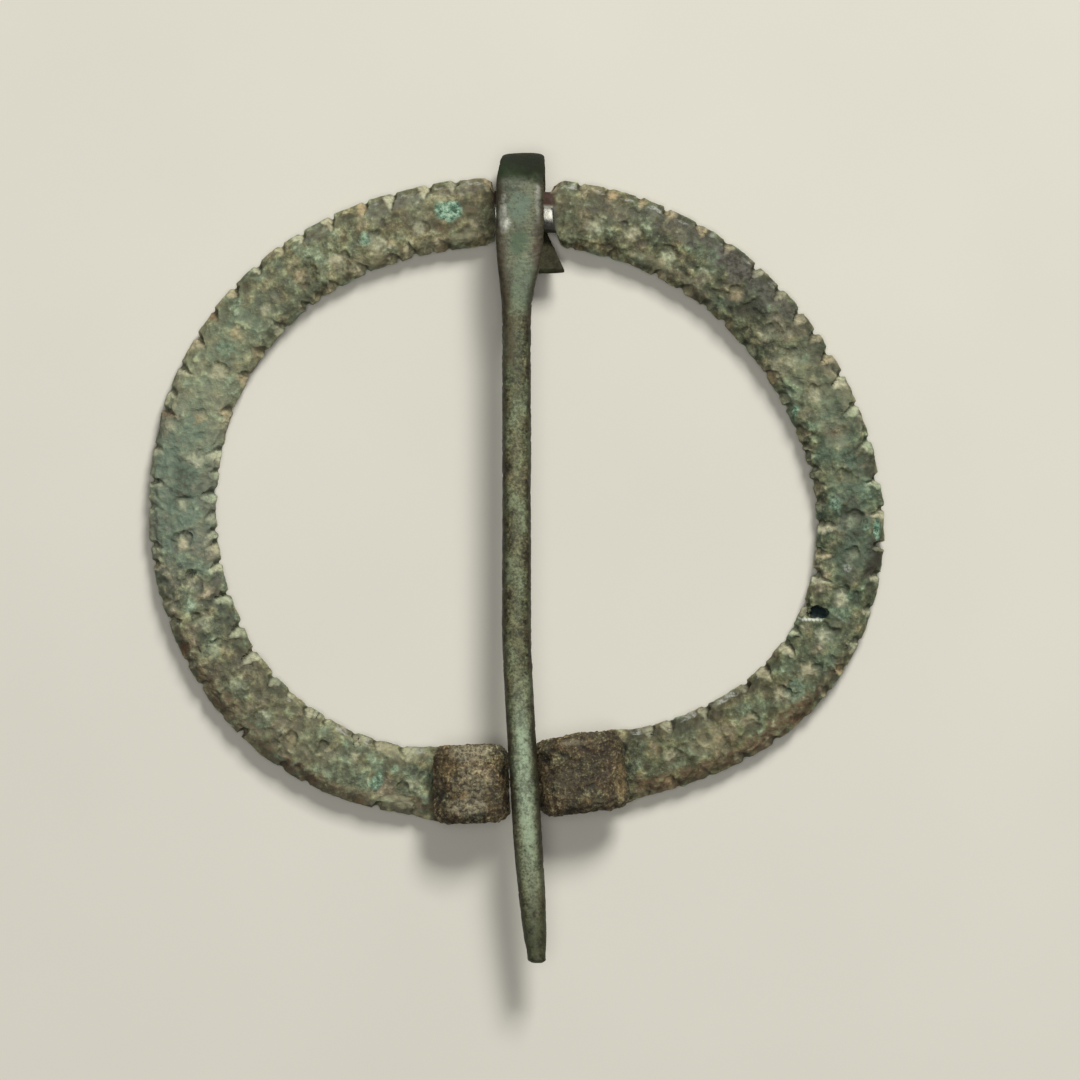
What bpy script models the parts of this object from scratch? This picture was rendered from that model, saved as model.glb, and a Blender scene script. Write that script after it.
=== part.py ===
"""Penannular brooch: a nicked copper-alloy hoop with rolled ends, and a pin looped round its neck.

Lengths are in metres. The hoop lies flat in the XY plane with its decorated face up (+Z), the neck
at the top (+Y) and the gap between the rolled ends at the bottom (-Y). The pin lies along Y.
"""
import math

import bmesh
import bpy
import numpy as np
from mathutils import Vector

COLLECTION_NAME = "penannular_brooch"

# The hoop's centreline is a circle with a few shallow lobes: it was bent by hand and is wider than tall.
HOOP_RADIUS = 0.02128
# Each lobe: how many go round the hoop, how far they stand out, the bearing of one of them in degrees.
HOOP_LOBES = ((1, 0.00047, -131.0), (2, 0.00164, -1.0), (3, 0.00052, -21.5), (4, 0.00033, -33.5))
CENTRELINE_STEPS = 2880

# Band of the hoop.
BAND_HALF_WIDTH = 0.00238
BAND_THICKNESS = 0.0022
CROWN_DROP = 0.00035
CROWN_SHARE = 0.35
FOOT_CHAMFER = 0.00018
RIM_LIP = 0.00024

# Nicks cut into both edges of the band, opposite each other.
NICKS_PER_ARM = 28
NICK_HALF_SHARE = 0.21
NICK_REACH = 0.0009
NICK_DROP = 0.0007
NICK_INSET = 0.0002
NICK_FREE_LENGTH = 0.0006

# Neck, where the pin's loop rides. Its ends are places along X; the right one slants.
NECK_HALF_WIDTH = 0.00138
NECK_HALF_THICKNESS = 0.0007
NECK_HEIGHT = 0.00172
NECK_LEFT = -0.00168
NECK_RIGHT_OUTER = 0.0023
NECK_RIGHT_INNER = 0.0030
SHOULDER_LENGTH = 0.0003
NECK_BAR_STATIONS = 6
# Directions of the outer half's points from the neck's middle, in degrees up from outward.
NECK_BEARINGS = (-62, -22, 20, 48, 76)

# Rolled ends. The outer face of each roll is an oval spiral that starts at the foot of the band.
ROLL_HALF_HEIGHT = 0.00274
ROLL_HEIGHT_LOSS = 0.00028
ROLL_LENGTH_LOSS = 0.00025
ROLL_SWEEP = math.radians(382.0)
ROLL_STATIONS = 24
ROLL_HALF_WIDTH = 0.00284
ROLL_STRIP_START = 0.0015
ROLL_STRIP_END = 0.0010
LEFT_ROLL_X = -0.00347
LEFT_ROLL_HALF_LENGTH = 0.00346
RIGHT_ROLL_X = 0.00474
RIGHT_ROLL_HALF_LENGTH = 0.00398
# Band next to a roll, which widens and thins towards it, without nicks under the roll.
LEAD_IN_LENGTH = 0.0045
LEAD_IN_STATIONS = 4

# Pin. Its hinge axis runs along X just above the middle of the neck.
HINGE_ABOVE_NECK = 0.0006
PIN_X = 0.0002
STRIP_HALF_WIDTH = 0.00165
WRAP_HALF_WIDTH = 0.00156
STRIP_HALF_THICKNESS = 0.00042
TAIL_HALF_THICKNESS = 0.00027
LOOP_BOTTOM = 0.00033
LOOP_TOP = 0.00446
LOOP_STRAIGHT = 0.0016
LOOP_BEND_REACH = 0.0020
LOOP_BEND_STATIONS = 14
TAIL_START = -0.0012
TAIL_END = -0.0041
TAIL_RISE = 0.0021
TAIL_STATIONS = 7
TAIL_SIDE_SHIFT = 0.0012
WRAP_SIDE_SHIFT = 0.00024
SHANK_RADIUS = 0.00102
SHANK_HALF_THICKNESS = 0.00094
SHANK_HEIGHT = 0.0045
SHOULDER_START_Y = 0.0178
SHANK_START_Y = 0.0120
SHOULDER_STATIONS = 10
SHANK_STATIONS = 18
BEND_START_Y = -0.0091
TIP_Y = -0.03163
TIP_SIDE_SHIFT = 0.00138
TIP_TAPER_Y = -0.0226
TIP_HALF_WIDTH = 0.00066
TIP_CHAMFER = 0.00022
TIP_DROOP = 0.0004
PIN_SECTION_POINTS = 12
STRIP_SQUARENESS = 4.5
SHANK_SQUARENESS = 2.3

HOOP_COLOUR = (0.165, 0.150, 0.098, 1.0)
PIN_COLOUR = (0.150, 0.155, 0.110, 1.0)


def clear_scene():
    for item in list(bpy.data.objects):
        bpy.data.objects.remove(item, do_unlink=True)


def smooth_step(low, high, value):
    """0 before low, 1 past high and an even ease between them."""
    share = min(max((value - low) / (high - low), 0.0), 1.0)
    return share * share * (3.0 - 2.0 * share)


def mix(first, second, share):
    return first + (second - first) * share


# Hoop -----------------------------------------------------------------------------------------------


def hoop_point(bearing):
    """Point of the hoop's centreline at a bearing in radians, counted from +X towards +Y."""
    radius = HOOP_RADIUS
    for count, height, crest in HOOP_LOBES:
        radius += height * math.cos(count * (bearing - math.radians(crest)))
    return Vector((radius * math.cos(bearing), radius * math.sin(bearing), 0.0))


def hoop_directions(bearing):
    """The way along the hoop, counter-clockwise, and the way out of it."""
    small_angle = 1e-3
    along = (hoop_point(bearing + small_angle) - hoop_point(bearing - small_angle)).normalized()
    return along, Vector((along.y, -along.x, 0.0))


class Centreline:
    """Looks up bearings on the hoop by the length walked round it from the bottom."""

    def __init__(self):
        self.bearings = np.linspace(-math.pi / 2.0, 1.5 * math.pi, CENTRELINE_STEPS + 1)
        self.points = np.array([hoop_point(bearing)[:2] for bearing in self.bearings])
        steps = np.linalg.norm(np.diff(self.points, axis=0), axis=1)
        self.lengths = np.concatenate(([0.0], np.cumsum(steps)))

    def bearing(self, length):
        return float(np.interp(length, self.lengths, self.bearings))

    def length_at_x(self, x, upper):
        """Length at which the centreline passes a place along X, on its upper or lower stretch."""
        middle = np.abs(self.points[:, 0]) < 0.4 * HOOP_RADIUS
        half = self.points[:, 1] > 0.0 if upper else self.points[:, 1] < 0.0
        sides = [self.lengths > 0.5 * self.lengths[-1], self.lengths <= 0.5 * self.lengths[-1]]
        picked = middle & half
        if not upper:
            picked &= sides[0] if x < 0.0 else sides[1]
        order = np.argsort(self.points[picked, 0])
        return float(np.interp(x, self.points[picked, 0][order], self.lengths[picked][order]))


def mirrored(outer_points):
    """A whole section from its outer half: (outward, up) points, round by the top to the inner edge."""
    return outer_points + [(-outward, up) for outward, up in reversed(outer_points)]


def band_section(half_width, thickness, nick):
    """Flat strip with a low crown; nick is how far the section lies in a nick, from 0 to 1."""

    def top(outward):
        return thickness - CROWN_DROP * (outward / half_width) ** 2

    nick_end = half_width - RIM_LIP - NICK_REACH * nick
    return mirrored([
        (half_width - FOOT_CHAMFER, 0.0),
        (half_width, FOOT_CHAMFER),
        (half_width - NICK_INSET * nick, top(half_width) - RIM_LIP - NICK_DROP * nick),
        (nick_end, top(nick_end)),
        (CROWN_SHARE * half_width, top(CROWN_SHARE * half_width)),
    ])


def neck_section():
    """Oval bar that takes the place of the band where the pin's loop rides."""
    return mirrored([
        (
            NECK_HALF_WIDTH * math.cos(math.radians(bearing)),
            NECK_HEIGHT + NECK_HALF_THICKNESS * math.sin(math.radians(bearing)),
        )
        for bearing in NECK_BEARINGS
    ])


def neck_share(x, right_end):
    """How far the section at x is neck and not band."""
    left = smooth_step(NECK_LEFT - SHOULDER_LENGTH, NECK_LEFT, x)
    right = smooth_step(right_end + SHOULDER_LENGTH, right_end, x)
    return left * right


def hoop_section(centreline, length, left_foot, right_foot, nick):
    """World points of the band's section at a length along the hoop."""
    bearing = centreline.bearing(length)
    place = hoop_point(bearing)
    along, outward = hoop_directions(bearing)
    to_roll = min(length - right_foot, left_foot - length)
    lead_in = smooth_step(LEAD_IN_LENGTH, 0.0, to_roll)
    section = band_section(
        mix(BAND_HALF_WIDTH, ROLL_HALF_WIDTH, lead_in),
        mix(BAND_THICKNESS, ROLL_STRIP_START, lead_in),
        nick,
    )
    if place.y > 0.0:
        outer_count = len(section) // 2
        for index, neck_point in enumerate(neck_section()):
            end = NECK_RIGHT_OUTER if index < outer_count else NECK_RIGHT_INNER
            share = neck_share(place.x, end)
            band_point = section[index]
            section[index] = tuple(mix(band_point[axis], neck_point[axis], share) for axis in (0, 1))
    return [place + outward * side + Vector((0.0, 0.0, up)) for side, up in section]


def roll_sections(centreline, foot_length, travel_sign, half_length):
    """Sections of one rolled end, from the foot of the band up, back over it and in."""
    bearing = centreline.bearing(foot_length)
    foot = hoop_point(bearing)
    along, outward = hoop_directions(bearing)
    travel = along * travel_sign

    def outer_face(angle):
        reach = (half_length - ROLL_LENGTH_LOSS * angle) * math.sin(angle)
        height = ROLL_HALF_HEIGHT - (ROLL_HALF_HEIGHT - ROLL_HEIGHT_LOSS * angle) * math.cos(angle)
        return reach, height

    sections = []
    small_angle = 1e-3
    for index in range(1, ROLL_STATIONS + 1):
        share = index / ROLL_STATIONS
        angle = ROLL_SWEEP * share
        reach, height = outer_face(angle)
        ahead = outer_face(angle + small_angle)
        heading = Vector((ahead[0] - reach, ahead[1] - height)).normalized()
        inward = travel * -heading.y + Vector((0.0, 0.0, heading.x))
        place = foot + travel * reach + Vector((0.0, 0.0, height))
        section = band_section(ROLL_HALF_WIDTH, mix(ROLL_STRIP_START, ROLL_STRIP_END, share), 0.0)
        sections.append([place + outward * side + inward * depth for side, depth in section])
    return sections


def arm_stations(start, end):
    """Lengths of one arm's sections with their nick shares: land, bottom of the nick, land."""
    pitch = (end - start) / NICKS_PER_ARM
    stations = []
    for index in range(NICKS_PER_ARM):
        middle = start + (index + 0.5) * pitch
        stations.append((middle - NICK_HALF_SHARE * pitch, 0.0))
        stations.append((middle, 1.0))
        stations.append((middle + NICK_HALF_SHARE * pitch, 0.0))
    return stations


def neck_places():
    """Places along X, right to left, of the sections from shoulder to shoulder of the neck."""
    right_shoulder = [
        NECK_RIGHT_INNER + SHOULDER_LENGTH,
        NECK_RIGHT_INNER,
        NECK_RIGHT_OUTER + SHOULDER_LENGTH,
    ]
    bar = list(np.linspace(NECK_RIGHT_OUTER, NECK_LEFT, NECK_BAR_STATIONS))
    return right_shoulder + bar + [NECK_LEFT - SHOULDER_LENGTH]


def hoop_sections():
    centreline = Centreline()
    right_foot = centreline.length_at_x(RIGHT_ROLL_X, upper=False)
    left_foot = centreline.length_at_x(LEFT_ROLL_X, upper=False)
    neck_lengths = [centreline.length_at_x(x, upper=True) for x in neck_places()]
    right_back = right_foot + LEAD_IN_LENGTH - NICK_FREE_LENGTH
    left_back = left_foot - LEAD_IN_LENGTH + NICK_FREE_LENGTH

    stations = [(length, 0.0) for length in np.linspace(right_foot, right_back, LEAD_IN_STATIONS)]
    stations += arm_stations(right_back, neck_lengths[0] - NICK_FREE_LENGTH)
    stations += [(length, 0.0) for length in neck_lengths]
    stations += arm_stations(neck_lengths[-1] + NICK_FREE_LENGTH, left_back)
    stations += [(length, 0.0) for length in np.linspace(left_back, left_foot, LEAD_IN_STATIONS)]

    right_roll = roll_sections(centreline, right_foot, -1.0, RIGHT_ROLL_HALF_LENGTH)
    band = [hoop_section(centreline, length, left_foot, right_foot, nick) for length, nick in stations]
    left_roll = roll_sections(centreline, left_foot, 1.0, LEFT_ROLL_HALF_LENGTH)
    return right_roll[::-1] + band + left_roll


# Pin ------------------------------------------------------------------------------------------------


def oval_section(half_width, half_thickness, squareness):
    """Rounded section: an ellipse at squareness 2, nearing a rectangle as it grows."""
    points = []
    for index in range(PIN_SECTION_POINTS):
        angle = (index + 0.5) * 2.0 * math.pi / PIN_SECTION_POINTS
        side = math.copysign(abs(math.cos(angle)) ** (2.0 / squareness), math.cos(angle))
        up = math.copysign(abs(math.sin(angle)) ** (2.0 / squareness), math.sin(angle))
        points.append((half_width * side, half_thickness * up))
    return points


def loop_stations(neck_y):
    """The wrapped strip: (place, half width, half thickness, squareness), tail end to top of the bend."""
    stations = []
    for index in range(TAIL_STATIONS):
        share = index / TAIL_STATIONS
        y = neck_y + mix(TAIL_END, TAIL_START, share)
        z = LOOP_BOTTOM + TAIL_RISE * (1.0 - share) ** 1.7
        x = PIN_X + WRAP_SIDE_SHIFT + TAIL_SIDE_SHIFT * (1.0 - share)
        half_width = mix(STRIP_HALF_WIDTH, WRAP_HALF_WIDTH, share)
        stations.append((Vector((x, y, z)), half_width, TAIL_HALF_THICKNESS, STRIP_SQUARENESS))
    below_neck = Vector((PIN_X + WRAP_SIDE_SHIFT, neck_y + TAIL_START, LOOP_BOTTOM))
    stations.append((below_neck, WRAP_HALF_WIDTH, TAIL_HALF_THICKNESS, STRIP_SQUARENESS))
    middle_z = 0.5 * (LOOP_BOTTOM + LOOP_TOP)
    half_height = 0.5 * (LOOP_TOP - LOOP_BOTTOM)
    for index in range(LOOP_BEND_STATIONS + 1):
        share = index / LOOP_BEND_STATIONS
        angle = math.pi * (share - 0.5)
        y = neck_y + LOOP_STRAIGHT + LOOP_BEND_REACH * math.cos(angle)
        front = smooth_step(0.5, 1.0, share)
        x = PIN_X + WRAP_SIDE_SHIFT * (1.0 - front)
        place = Vector((x, y, middle_z + half_height * math.sin(angle)))
        half_width = mix(WRAP_HALF_WIDTH, STRIP_HALF_WIDTH, front)
        thickness = mix(TAIL_HALF_THICKNESS, STRIP_HALF_THICKNESS, share)
        stations.append((place, half_width, thickness, STRIP_SQUARENESS))
    return stations


def shank_station(y):
    """One station of the flattened front, the shank or the tip, by its place along Y."""
    shank = smooth_step(SHOULDER_START_Y, SHANK_START_Y, y)
    taper = smooth_step(TIP_TAPER_Y, TIP_Y, y)
    bend = max((BEND_START_Y - y) / (BEND_START_Y - TIP_Y), 0.0) ** 1.25
    x = PIN_X * (1.0 - shank) + TIP_SIDE_SHIFT * bend
    z = mix(LOOP_TOP, SHANK_HEIGHT, shank) - TIP_DROOP * taper
    half_width = mix(STRIP_HALF_WIDTH, SHANK_RADIUS, shank)
    half_thickness = mix(STRIP_HALF_THICKNESS, SHANK_HALF_THICKNESS, shank)
    slimness = mix(1.0, TIP_HALF_WIDTH / SHANK_RADIUS, taper)
    squareness = mix(STRIP_SQUARENESS, SHANK_SQUARENESS, shank)
    return (Vector((x, y, z)), half_width * slimness, half_thickness * slimness, squareness)


def pin_stations(neck_y):
    stations = loop_stations(neck_y)
    shoulder = np.linspace(neck_y + LOOP_STRAIGHT, SHANK_START_Y, SHOULDER_STATIONS + 1)
    shank = np.linspace(SHANK_START_Y, TIP_Y + TIP_CHAMFER, SHANK_STATIONS + 1)
    stations += [shank_station(y) for y in (*shoulder[1:], *shank[1:])]
    end, half_width, half_thickness, squareness = shank_station(TIP_Y)
    blunted = half_width - TIP_CHAMFER
    stations.append((end, blunted, half_thickness - TIP_CHAMFER, squareness))
    return stations


def pin_sections(neck_y, hinge):
    """Points of each section, measured from the hinge axis."""
    stations = pin_stations(neck_y)
    places = [station[0] for station in stations]
    sections = []
    for index, (place, half_width, half_thickness, squareness) in enumerate(stations):
        before = places[max(index - 1, 0)]
        after = places[min(index + 1, len(places) - 1)]
        heading = Vector((0.0, after.y - before.y, after.z - before.z)).normalized()
        face = Vector((0.0, -heading.z, heading.y))
        side = Vector((1.0, 0.0, 0.0))
        sections.append([
            place - hinge + side * across + face * through
            for across, through in oval_section(half_width, half_thickness, squareness)
        ])
    return sections


# Objects --------------------------------------------------------------------------------------------


def patinated_metal(name, colour):
    material = bpy.data.materials.new(name)
    material.use_nodes = True
    shader = material.node_tree.nodes["Principled BSDF"]
    shader.inputs["Base Color"].default_value = colour
    shader.inputs["Metallic"].default_value = 0.3
    shader.inputs["Roughness"].default_value = 0.6
    return material


def loft_object(name, sections, material, collection):
    """A closed solid through sections of equally many points, flat at both ends."""
    shape = bmesh.new()
    rings = [[shape.verts.new(point) for point in section] for section in sections]
    for ring, following in zip(rings, rings[1:]):
        for index, corner in enumerate(ring):
            after = (index + 1) % len(ring)
            shape.faces.new((corner, ring[after], following[after], following[index]))
    shape.faces.new(rings[0])
    shape.faces.new(rings[-1])
    bmesh.ops.recalc_face_normals(shape, faces=shape.faces)
    mesh = bpy.data.meshes.new(name)
    shape.to_mesh(mesh)
    shape.free()
    mesh.materials.append(material)
    item = bpy.data.objects.new(name, mesh)
    collection.objects.link(item)
    return item


def centre_over_floor(parent, items):
    """Moves the parent so that its items stand on z = 0 with their box centred on the Z axis."""
    bpy.context.view_layer.update()
    corners = np.array([item.matrix_world @ vertex.co for item in items for vertex in item.data.vertices])
    low = corners.min(axis=0)
    high = corners.max(axis=0)
    parent.location = (-0.5 * (low[0] + high[0]), -0.5 * (low[1] + high[1]), -low[2])
    bpy.context.view_layer.update()


def main():
    clear_scene()
    collection = bpy.data.collections.new(COLLECTION_NAME)
    bpy.context.scene.collection.children.link(collection)
    frame = bpy.data.objects.new("brooch_frame", None)
    collection.objects.link(frame)

    hoop_metal = patinated_metal("patinated_copper_alloy_hoop", HOOP_COLOUR)
    hoop = loft_object("hoop", hoop_sections(), hoop_metal, collection)
    hoop.parent = frame

    neck_y = hoop_point(math.pi / 2.0).y
    hinge = Vector((PIN_X, neck_y, NECK_HEIGHT + HINGE_ABOVE_NECK))
    pin_metal = patinated_metal("patinated_copper_alloy_pin", PIN_COLOUR)
    pin = loft_object("pin", pin_sections(neck_y, hinge), pin_metal, collection)
    pin.parent = frame
    pin.location = hinge

    centre_over_floor(frame, [hoop, pin])


main()
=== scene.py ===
"""Looks of a penannular brooch: a hoop with nicked edges and rolled ends, and a pin looped round its neck.

Lengths are in metres. The hoop lies flat with its decorated face up. Each arm of the hoop is built by
walking from the middle of the neck to the end of its roll, so "walk" is a length along the strip and
"across" runs from 1 at the outer edge to -1 at the inner edge. Bearings are degrees round the hoop,
counter-clockwise from +X.
"""
import math

import bpy
import numpy as np
from bpy.props import FloatProperty, FloatVectorProperty, PointerProperty
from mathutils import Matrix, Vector


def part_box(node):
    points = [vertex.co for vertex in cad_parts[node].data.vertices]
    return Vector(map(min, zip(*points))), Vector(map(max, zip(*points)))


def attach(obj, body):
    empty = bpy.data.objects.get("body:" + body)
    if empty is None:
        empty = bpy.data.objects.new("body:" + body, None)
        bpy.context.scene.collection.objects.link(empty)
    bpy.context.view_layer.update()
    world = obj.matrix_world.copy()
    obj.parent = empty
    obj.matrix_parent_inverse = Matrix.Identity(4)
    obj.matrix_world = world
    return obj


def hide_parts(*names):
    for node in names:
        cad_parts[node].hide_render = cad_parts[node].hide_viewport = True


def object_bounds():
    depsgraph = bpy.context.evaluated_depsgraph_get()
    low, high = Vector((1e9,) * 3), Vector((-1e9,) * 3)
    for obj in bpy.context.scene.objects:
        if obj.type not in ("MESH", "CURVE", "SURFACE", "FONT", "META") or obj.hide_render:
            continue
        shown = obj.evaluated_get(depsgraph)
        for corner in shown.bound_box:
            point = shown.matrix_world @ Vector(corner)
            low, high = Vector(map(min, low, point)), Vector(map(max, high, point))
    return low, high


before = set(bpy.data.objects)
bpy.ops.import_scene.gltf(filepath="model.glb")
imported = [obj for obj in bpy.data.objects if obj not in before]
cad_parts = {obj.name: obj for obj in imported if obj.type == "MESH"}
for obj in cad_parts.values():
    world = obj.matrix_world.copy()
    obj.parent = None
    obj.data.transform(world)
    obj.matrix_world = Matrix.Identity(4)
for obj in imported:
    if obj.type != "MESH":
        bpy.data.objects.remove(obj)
CAD_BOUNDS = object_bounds()

bl_info = {
    "name": "Penannular Brooch",
    "version": (1, 0, 0),
    "blender": (4, 5, 0),
    "location": "3D View > Sidebar > Brooch",
    "description": "Builds an old copper-alloy brooch: a nicked hoop with rolled ends and a looped pin",
    "category": "Add Mesh",
}

MM = 0.001

# Centreline of the hoop: a circle with shallow lobes. Each lobe: count, height, bearing of one crest.
HOOP_RADIUS = 21.28 * MM
HOOP_LOBES = ((1, 0.47 * MM, -131.0), (2, 1.64 * MM, -1.0), (3, 0.52 * MM, -21.5), (4, 0.33 * MM, -33.5))
CENTRELINE_STEPS = 5760
# Places along X are looked up within this share of the radius from the middle.
NEAR_MIDDLE = 0.4

# Band. Its top is crowned and its edges are rounded off by a share of the rounding's size.
BAND_HALF_WIDTH = 2.38 * MM
BAND_THICKNESS = 2.2 * MM
CROWN_DROP = 0.4 * MM
CORNER_ROUND = 0.8 * MM
CORNER_CUT = 0.3
ROLL_CORNER_CUT = 0.36

# Neck: an oval bar. Its ends are places along X, and the right one slants from outer to inner edge.
NECK_HALF_WIDTH = 1.38 * MM
NECK_HALF_THICKNESS = 0.7 * MM
NECK_HEIGHT = 1.72 * MM
NECK_LEFT = -1.52 * MM
NECK_RIGHT_OUTER = 2.42 * MM
NECK_RIGHT_INNER = 3.05 * MM
SHOULDER_LENGTH = 0.13 * MM
SHOULDER_EASE = 0.3 * MM
SHOULDER_ROUND = 0.75 * MM

# Rolled ends: the strip goes up, back over itself and in, on an oval spiral. It is a little narrower at the
# oval's two ends. The small turn is the step by which the spiral's heading is found.
ROLL_HALF_HEIGHT = 2.74 * MM
ROLL_HEIGHT_LOSS = 0.28 * MM
ROLL_LENGTH_LOSS = 0.25 * MM
ROLL_SWEEP = math.radians(382.0)
ROLL_HALF_WIDTH = 2.84 * MM
ROLL_END_NARROWING = 0.06
ROLL_END_POWER = 5
SMALL_TURN = 1e-3
ROLL_STRIP_START = 1.5 * MM
ROLL_STRIP_END = 1.0 * MM
LEFT_ROLL_X = -3.47 * MM
LEFT_ROLL_HALF_LENGTH = 3.46 * MM
RIGHT_ROLL_X = 4.74 * MM
RIGHT_ROLL_HALF_LENGTH = 3.98 * MM
# The band widens and thins on its way into a roll, and the roll covers the last of it.
LEAD_IN_LENGTH = 4.5 * MM
ROLL_COVER_START = 1.2 * MM
ROLL_COVER_EASE = 0.4 * MM

# Columns round the strip's outline: top, inner side, underside, outer side. A roll shows its underside.
BAND_COLUMNS = (56, 9, 20, 9)
ROLL_COLUMNS = (20, 9, 56, 9)
BAND_ROWS = 880
ROLL_ROWS = 165
# The columns slide round on this stretch before the roll's foot.
SLIDE_START = 3.2 * MM
SLIDE_END = 0.4 * MM
# Corners of the outline: across, share of the height, and bearing round the neck's oval in degrees.
CORNER_ACROSS = (1.0, -1.0, -1.0, 1.0, 1.0)
CORNER_HEIGHT = (1.0, 1.0, 0.0, 0.0, 1.0)
CORNER_NECK_BEARING = (20.0, 160.0, 208.0, 332.0, 380.0)
# Rings that close the strips' ends, by their size.
CAP_RINGS = (0.985, 0.93, 0.75, 0.4)
CAP_BULGE = 0.06 * MM

# Nicks. A pair is a waver and the size of its lumps, the least and most that chance gives, or the places
# between which something fades.
NICK_SEED = 17
NICK_REACH = 2.5 * MM
FACE_WAVER = (0.07 * MM, 0.4 * MM)
END_WAVER = (0.16 * MM, 0.22 * MM)
WALL_SPREAD = (0.8, 1.3)
DEPTH_SPREAD = (0.85, 1.1)
SLANT_SPREAD = (0.5, 1.2)
FAINT_NICK_DEPTH = 0.45
FACE_EDGE = (-0.06 * MM, 0.08 * MM)
NICK_EDGE = (-0.05, 0.4)
# Bite into the outline: its middle and ends in widths of the nick's wall, and how far in it goes.
BITE_MIDDLE = 0.3
BITE_ALONG = (1.4, 0.2)
BITE_INWARD = (0.9 * MM, 0.2 * MM)
WALL_SHADE = 0.4
WALL_SHADE_PER_MM = 1.6

# Punch marks; sizes are shares of the mark's radius.
PUNCH_SEED = 19
PUNCH_SPREAD = (0.85, 1.15)
PUNCH_REACH = 3.0
RING_WAVER = 0.38
RING_LUMP = 0.4 * MM
BOWL_SIZE = 0.85
GROOVE_WIDTH = 0.36
GROOVE_RANGE = (0.12, 1.3)
# Share of the full depth for a faint ring and for a dark one.
FAINT_TO_DARK = (0.4, 1.2)
# The punch was held at a slant: the groove's depth at its middle, and how it changes along and beside.
PUNCH_SLANT = (0.6, -0.45, 0.3)
PUNCH_FADE = (1.2, 0.4)
PUNCH_COLOUR = 0.85

# Relief of the crust: weights of lumps, fine lumps, pits, grains, and streaks along the strip by the neck.
# A push moves the places at which noise is read, so that its lumps come out uneven.
BAND_RELIEF = (0.5, 0.8, -1.3, 0.3, 0.3)
ROLL_RELIEF = (0.55, 0.0, -0.4, 0.6, 0.0)
PIT_LEVEL = 0.25
CRUST_PUSH = 0.3 * MM
FINE_GRAIN_SHARE = 0.7
STREAK_SQUEEZE = 0.1
STREAKS_END = 9.0 * MM
STREAKS_FADE = 4.0 * MM
# The few highest grains are levelled at this percentile.
HIGHEST_PERCENT = 99.5
DEEPEST_CRUST = 3.4
UNDERSIDE_RELIEF = 0.45
# The upper left is smoother than the rest: share taken off, bearing and spread in degrees.
CALM_SHARE = 0.4
CALM_BEARING = 125.0
CALM_SPREAD = 40.0

# Wear of the hoop: depths, and how smooth the neck and the cut faces are against the crust.
DENT_DEPTH = 0.05 * MM
DENT_PUSH = 0.5 * MM
EDGE_WAVER = 0.04 * MM
HOLE_DEPTH = 0.55 * MM
END_DROP = 0.35 * MM
END_INSET = 0.4 * MM
NECK_WEAR_LENGTH = 0.6 * MM
NECK_SMOOTHNESS = 0.92
CUT_SMOOTHNESS = 0.25
SMOOTH_CUT_DEPTH = 0.15 * MM
NECK_RUST_EDGE = (0.1, 0.35)
UNDERSIDE_EDGE = (0.0, 0.6)
# The noise of the outer edge is read this far from that of the inner edge, so that they differ.
EDGES_APART = 1.0

# How patches fade: raggedness, the size of its lumps, and the shares of a patch's own size up to which it
# is at full strength and at which it is gone.
HOOP_FADE = (0.33, 0.7 * MM, 0.6, 1.3)
ROLL_FADE = (0.33, 0.8 * MM, 0.6, 1.3)
LOOP_FADE = (0.3, 0.5 * MM, 0.5, 1.4)
# Turn of the roll, in radians, past which its outer face shows.
ROLL_FACE_START = 0.5

# Pin.
PIN_X = 0.2 * MM
STRIP_HALF_WIDTH = 1.65 * MM
WRAP_HALF_WIDTH = 1.56 * MM
STRIP_HALF_THICKNESS = 0.42 * MM
TAIL_HALF_THICKNESS = 0.27 * MM
LOOP_BOTTOM = 0.33 * MM
LOOP_TOP = 4.46 * MM
LOOP_STRAIGHT = 1.6 * MM
LOOP_BEND_REACH = 2.0 * MM
TAIL_START = -1.2 * MM
TAIL_END = -4.1 * MM
TAIL_RISE = 2.1 * MM
TAIL_SIDE_SHIFT = 1.2 * MM
WRAP_SIDE_SHIFT = 0.24 * MM
SHANK_RADIUS = 1.02 * MM
SHANK_HALF_THICKNESS = 0.91 * MM
SHANK_HEIGHT = 4.5 * MM
SHOULDER_START_Y = 17.8 * MM
SHANK_START_Y = 12.0 * MM
BEND_START_Y = -9.1 * MM
TIP_Y = -31.63 * MM
TIP_SIDE_SHIFT = 1.38 * MM
TIP_TAPER_Y = -22.6 * MM
TIP_HALF_WIDTH = 0.66 * MM
TIP_CHAMFER = 0.22 * MM
TIP_DROOP = 0.4 * MM
BEND_NARROWING = 0.1 * MM
BEND_ROUNDING = 1.7
# How late the tail's rise, the shank's lean and the last of its taper set in.
TAIL_POWER = 1.7
LEAN_POWER = 1.25
TIP_POWER = 12
STRIP_SQUARENESS = 4.5
SHANK_SQUARENESS = 2.3
PIN_ROW_LENGTH = 0.07 * MM
PIN_COLUMNS = 64
PIN_OUTLINE_STEPS = 480
# Relief of the pin: how blows are stretched along it, and weights of skin, pits and worn edges.
BLOW_SQUEEZE = (1.0, 0.45, 1.0)
PIN_RELIEF = (0.5, -1.6, -2.2)
PIN_PIT_LEVEL = 0.8
PIN_PIT_PUSH = 0.25 * MM
DEEPEST_SKIN = 3.5
PIT_SHADE = 2.5
# Where colours change across the pin, in shares of its half width. The paler crest and the band down the
# shank are painted highlight; the dark flanks are brown flecks and painted shade.
FLANK_WEAR = (0.55, 0.95)
FLANK_EDGE = (0.5, 0.95)
FLANK_WAVER = 0.14
CREST_EDGE = (0.0, 0.75)
BRIGHT_WIDTH = (0.85, 0.1)
# How steeply up a face has to look to be the upper one, as the upright part of its normal.
UPPER_FACE = (0.1, 0.6)
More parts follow.
